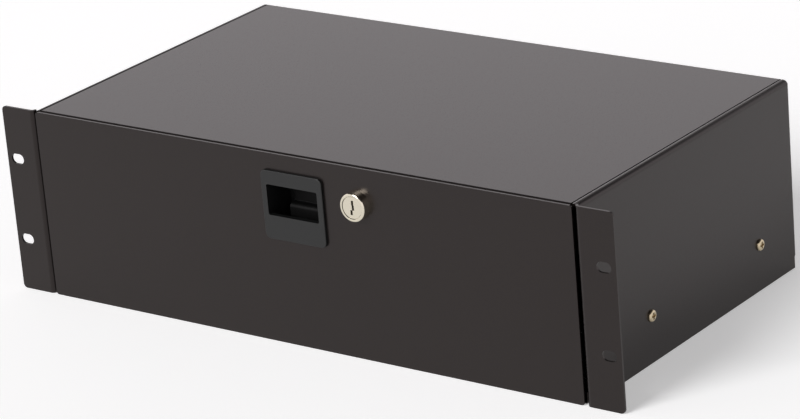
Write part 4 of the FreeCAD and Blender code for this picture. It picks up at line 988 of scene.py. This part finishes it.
# ---- Cam lock
# A die-cast zinc lock, bright chrome plated: a round head that flares a little to its foot, a rim round the
# plug's face, and a threaded body with two flats. The plug has a jogged keyway and a square tail.
LOCK_RIM_MM = 1.9
LOCK_FLARE_MM = 0.4
LOCK_RECESS_MM = 0.4
LOCK_FACE_THICK_MM = 2.0
SHANK_FROM_MM = 3.9
LOCK_EDGE_MM = 1.0
LOCK_RIM_EDGE_MM = 0.2
PLUG_RADIUS_MM = 5.5
PLUG_GAP_MM = 0.06
PLUG_SEAT_GAP_MM = 0.1
PLUG_EDGE_MM = 0.15
FACE_GAP_MM = 0.3
KEYWAY_MM = 9.6
KEYWAY_WIDTH_MM = 1.6
KEYWAY_JOGS_MM = (-0.6, 0.7, 0.4)
KEYWAY_DEEP_MM = 8.0
KEYWAY_LAP_MM = 0.01
TAIL_HALF_MM = 3.5
TAIL_LONG_MM = 2.0
THREAD_PITCH_MM = 1.0
THREAD_FROM_MM = 1.0
THREAD_DEPTH_MM = 0.5
NO_THREAD = 1000.0
POLISH_MM = 1.6
POLISH_DEPTH_MM = 0.002
CHROME = "#d9d2c0"

lock_radius = (lock_high.z - lock_low.z) / 2
lock_face = lock_low.y


def lock_point(y, dx=0.0, dz=0.0):
    """A point on the lock's axis, or beside it."""
    return (lock_x + dx, y, lock_z + dz)


def chrome_plate(name, colour, roughness, thread_from):
    """Bright chrome on a die casting: polishing marks, and a rolled thread behind thread_from, in mm."""
    material, tree = new_material(name)
    place = object_place(tree)
    axes = add(tree, "ShaderNodeSeparateXYZ", {"Vector": place})
    marks = noise(tree, place, POLISH_MM, 3.0)
    turns = add(tree, "ShaderNodeMath", {0: (axes, "Y")}, {1: 1000 / THREAD_PITCH_MM}, operation="MULTIPLY")
    ridge = add(tree, "ShaderNodeMath", {0: (turns, 0)}, {1: 1.0}, operation="PINGPONG")
    behind = add(tree, "ShaderNodeMath", {0: (axes, "Y")}, {1: thread_from / 1000}, operation="GREATER_THAN")
    thread = add(tree, "ShaderNodeMath", {0: (ridge, 0), 1: (behind, 0)}, operation="MULTIPLY")
    polish = relief(tree, marks, POLISH_DEPTH_MM)
    return surface(material, {
        "Roughness": spread(tree, marks, roughness * 0.8, roughness * 1.3),
        "Normal": relief(tree, (thread, 0), THREAD_DEPTH_MM, Normal=polish),
    }, {"Base Color": linear(colour), "Metallic": 1.0})


chrome = chrome_plate("bright_chrome_plated_casting", CHROME, 0.10, plate_face + THREAD_FROM_MM)
plug_chrome = chrome_plate("brushed_chrome_plug_face", CHROME, 0.22, NO_THREAD)
head = bar("lock_body", lock_radius, lock_point(lock_face), lock_point(plate_face), 96)
pick_faces(head, lambda centre, normal: normal.y < -0.9)
shrink = (lock_radius - LOCK_FLARE_MM) / lock_radius
bpy.ops.transform.resize(value=(shrink, 1, shrink))
bpy.ops.mesh.inset(thickness=LOCK_RIM_MM / 1000)
bpy.ops.mesh.extrude_region_move(TRANSFORM_OT_translate={
    "value": (0, (LOCK_RECESS_MM + LOCK_FACE_THICK_MM) / 1000, 0)})
close_edit()
unite(head, double_d("lock_shank", LOCK_BODY_MM, LOCK_FLATS_MM, lock_face + SHANK_FROM_MM, lock_high.y))
cut(head, bar("plug_bore", PLUG_RADIUS_MM + PLUG_GAP_MM, lock_point(lock_face - OVERLAP_MM),
              lock_point(lock_high.y + REACH_MM), 64))
pick_edges(head, lambda a, b: abs(a.y - lock_face) < TOUCH_MM and abs(b.y - lock_face) < TOUCH_MM
           and math.hypot(a.x - lock_x, a.z - lock_z) > lock_radius - 1.0)
round_picked(LOCK_EDGE_MM, 6)
soften(head, LOCK_RIM_EDGE_MM, 2)
fit(head, "drawer", "lock_chrome", chrome, "lock_barrel")

plug_low, plug_high = corners_mm("lock_plug")
face_radius = lock_radius - LOCK_FLARE_MM - LOCK_RIM_MM - FACE_GAP_MM
shoulder = lock_face + LOCK_RECESS_MM
plug = bar("lock_plug_turned", face_radius, lock_point(shoulder),
           lock_point(shoulder + LOCK_FACE_THICK_MM - PLUG_SEAT_GAP_MM), 96)
shaft_end = plug_high.y - TAIL_LONG_MM
unite(plug, bar("plug_shaft", PLUG_RADIUS_MM, lock_point(shoulder + OVERLAP_MM), lock_point(shaft_end), 64))
unite(plug, block("plug_tail", lock_point(shaft_end - OVERLAP_MM, -TAIL_HALF_MM, -TAIL_HALF_MM),
                  lock_point(plug_high.y, TAIL_HALF_MM, TAIL_HALF_MM)))
third = KEYWAY_MM / 3
for i, jog in zip((-1.5, -0.5, 0.5), KEYWAY_JOGS_MM):
    cut(plug, block(
        "keyway_cutter",
        lock_point(shoulder - OVERLAP_MM, jog - KEYWAY_WIDTH_MM / 2, i * third - KEYWAY_LAP_MM),
        lock_point(shoulder + KEYWAY_DEEP_MM, jog + KEYWAY_WIDTH_MM / 2, (i + 1) * third + KEYWAY_LAP_MM)))
soften(plug, PLUG_EDGE_MM, 2)
fit(plug, "lock_plug", "lock_chrome", plug_chrome, "lock_plug")

# ---- Lock nut, cam and cam screw
# A thin hexagon nut draws the lock tight inside the tray. The cam is stamped from 2 mm steel, its square
# hole fits the plug's tail, and a hexagon-headed screw holds it. All are zinc plated.
NUT_ACROSS_MM = 21.0
CAM_WIDE_MM = 14.0
CAM_HEX_MM = 7.0
CAM_EDGE_MM = 0.2
NUT_CROWN_MM = 0.9
CAM_SCREW_MM = 2.0

stamped = rolled_zinc("zinc_plated_stamping", "#b3afa6", 0.34, 0.005, 6.0)
nut_low, nut_high = corners_mm("lock_nut")
nut = bar("lock_nut_thin", NUT_ACROSS_MM / math.sqrt(3), lock_point(nut_low.y), lock_point(nut_high.y), 6)
crown = bar("nut_crown", NUT_ACROSS_MM / math.sqrt(3), lock_point(nut_low.y), lock_point(nut_high.y), 72)
pick_edges(crown, lambda a, b: abs(a.y - b.y) < TOUCH_MM)
round_picked(NUT_CROWN_MM, 3)
with_tools(nut, "INTERSECT", crown)
cut(nut, bar("nut_bore", LOCK_BODY_MM, lock_point(nut_low.y - OVERLAP_MM),
             lock_point(nut_high.y + OVERLAP_MM), 64))
soften(nut, STRIP_EDGE_MM, 2)
fit(nut, "drawer", "lock_zinc", stamped, "lock_nut")

cam_low, cam_high = corners_mm("lock_cam")
cam_tip = cam_high.x - CAM_WIDE_MM / 2
cam = block("lock_cam_stamped", (lock_x, cam_low.y, cam_low.z), (cam_tip, cam_high.y, cam_high.z))
for x in (lock_x, cam_tip):
    unite(cam, bar("cam_end", CAM_WIDE_MM / 2, (x, cam_low.y, lock_z), (x, cam_high.y, lock_z), 64))
cut(cam, block("square_hole", lock_point(cam_low.y - OVERLAP_MM, -TAIL_HALF_MM, -TAIL_HALF_MM),
               lock_point(cam_high.y + OVERLAP_MM, TAIL_HALF_MM, TAIL_HALF_MM)))
soften(cam, CAM_EDGE_MM, 2)
fit(cam, "lock_plug", "lock_zinc", stamped, "lock_cam")

cam_screw_low, cam_screw_high = corners_mm("cam_screw")
cam_screw = hex_screw("cam_fixing_screw", lock_point(cam_high.y), CAM_HEX_MM, cam_screw_high.y - cam_high.y,
                      CAM_SCREW_MM, cam_screw_low.y)
soften(cam_screw, SCREW_EDGE_MM, 2)
fit(cam_screw, "lock_plug", "plated_fasteners", tumbled, "cam_screw")

# ---- Studio
# A white paper floor under a soft sun from the front. The floor glows a little to camera and glossy rays.
# A white sweep stands all round to about 30 degrees up, greyer on the right, and the ceiling is dim. Camera
# and transmission rays see white all over, and glossy rays see the sweep at one level, a little over white.
FLOOR_COLOUR = "#f7f7f7"
FLOOR_SIZE = 16.0
FLOOR_LIFT = 0.38
SWEEP_TOP = math.radians(29.0)
SWEEP_FADE_END = math.radians(35.0)
SWEEP_SEEN = 1.22
SWEEP_LEFT = 1.1
SWEEP_RIGHT = 0.5
SWEEP_TURN = (-0.1, 0.55)
OVERHEAD_LEVEL = 0.07
WORLD_TINT = (1.0, 0.958, 0.982, 1.0)
SUN_POWER = 2.1
SUN_ANGLE = 28.0
SUN_FROM = Vector((-0.212, -0.791, 0.574))


def lay_floor():
    """Lays the floor under the lowest point of the case."""
    floor = new_shape(bpy.ops.mesh.primitive_plane_add, "studio_floor", size=FLOOR_SIZE,
                      location=(0, 0, cad_box[0].z))
    material, tree = new_material("studio_floor_paper")
    paper = add(tree, "ShaderNodeBsdfDiffuse", values={"Color": linear(FLOOR_COLOUR)})
    path = add(tree, "ShaderNodeLightPath")
    seen = add(tree, "ShaderNodeMath", {0: (path, "Is Camera Ray"), 1: (path, "Is Glossy Ray")},
               operation="MAXIMUM")
    lift = add(tree, "ShaderNodeMath", {0: (seen, 0)}, {1: FLOOR_LIFT}, operation="MULTIPLY")
    glow = add(tree, "ShaderNodeEmission", {"Strength": (lift, 0)}, {"Color": (1, 1, 1, 1)})
    both = add(tree, "ShaderNodeAddShader", {0: (paper, 0), 1: (glow, 0)})
    add(tree, "ShaderNodeOutputMaterial", {"Surface": (both, 0)})
    floor.data.materials.append(material)


def light_world():
    """Lights the world: the sweep under a dim ceiling, and plain white to camera and transmission rays."""
    world = bpy.data.worlds.new("studio")
    world.use_nodes = True
    tree = world.node_tree
    tree.nodes.clear()
    place = add(tree, "ShaderNodeTexCoord")
    axes = add(tree, "ShaderNodeSeparateXYZ", {"Vector": (place, "Generated")})
    low = add(tree, "ShaderNodeMapRange", {"Value": (axes, "X")},
              {"From Min": SWEEP_TURN[0], "From Max": SWEEP_TURN[1],
               "To Min": SWEEP_LEFT, "To Max": SWEEP_RIGHT},
              interpolation_type="SMOOTHSTEP")
    path = add(tree, "ShaderNodeLightPath")
    backdrop = add(tree, "ShaderNodeMix", {"Factor": (path, "Is Glossy Ray"), "A": (low, "Result")},
                   {"B": SWEEP_SEEN})
    sweep = add(tree, "ShaderNodeMapRange", {"Value": (axes, "Z"), "To Min": (backdrop, "Result")},
                {"From Min": math.sin(SWEEP_TOP), "From Max": math.sin(SWEEP_FADE_END),
                 "To Max": OVERHEAD_LEVEL}, interpolation_type="SMOOTHSTEP")
    seen = add(tree, "ShaderNodeMath", {0: (path, "Is Camera Ray"), 1: (path, "Is Transmission Ray")},
               operation="MAXIMUM")
    level = add(tree, "ShaderNodeMix", {"Factor": (seen, 0), "A": (sweep, "Result")}, {"B": 1.0})
    tint = blend(tree, (seen, 0), WORLD_TINT, (1, 1, 1, 1))
    surround = add(tree, "ShaderNodeBackground", {"Strength": (level, "Result"), "Color": tint})
    add(tree, "ShaderNodeOutputWorld", {"Surface": (surround, 0)})
    scene.world = world


def hang_sun():
    """Adds the soft key light."""
    data = bpy.data.lights.new("key_sun", "SUN")
    data.energy = SUN_POWER
    data.angle = math.radians(SUN_ANGLE)
    sun = bpy.data.objects.new("key_sun", data)
    sun.rotation_euler = SUN_FROM.to_track_quat("Z", "Y").to_euler()
    scene.collection.objects.link(sun)


lay_floor()
light_world()
hang_sun()
scene.view_settings.view_transform = "Standard"

# ---- Camera
# A long lens, to the right of the drawer and above it, so that the front, the top and the right side
# are all seen and their edges run nearly parallel. It is held a few degrees out of level.
CAMERA_AZIMUTH = 37.75
CAMERA_ELEVATION = 20.53
CAMERA_ROLL = -4.90
CAMERA_DISTANCE = 2.429
CAMERA_AIM = Vector((-0.0286, 0.1442, -0.0268))
CAMERA_LENS = 163.55


def place_camera():
    """Adds the camera and makes it the scene's own."""
    data = bpy.data.cameras.new("camera")
    data.lens = CAMERA_LENS
    camera = bpy.data.objects.new("camera", data)
    scene.collection.objects.link(camera)
    turn = Matrix.Rotation(math.radians(CAMERA_AZIMUTH), 4, "Z")
    tilt = Matrix.Rotation(math.radians(90 - CAMERA_ELEVATION), 4, "X")
    roll = Matrix.Rotation(math.radians(CAMERA_ROLL), 4, "Z")
    back = Matrix.Translation((0, 0, CAMERA_DISTANCE))
    camera.matrix_world = Matrix.Translation(CAMERA_AIM) @ turn @ tilt @ roll @ back
    scene.camera = camera


place_camera()
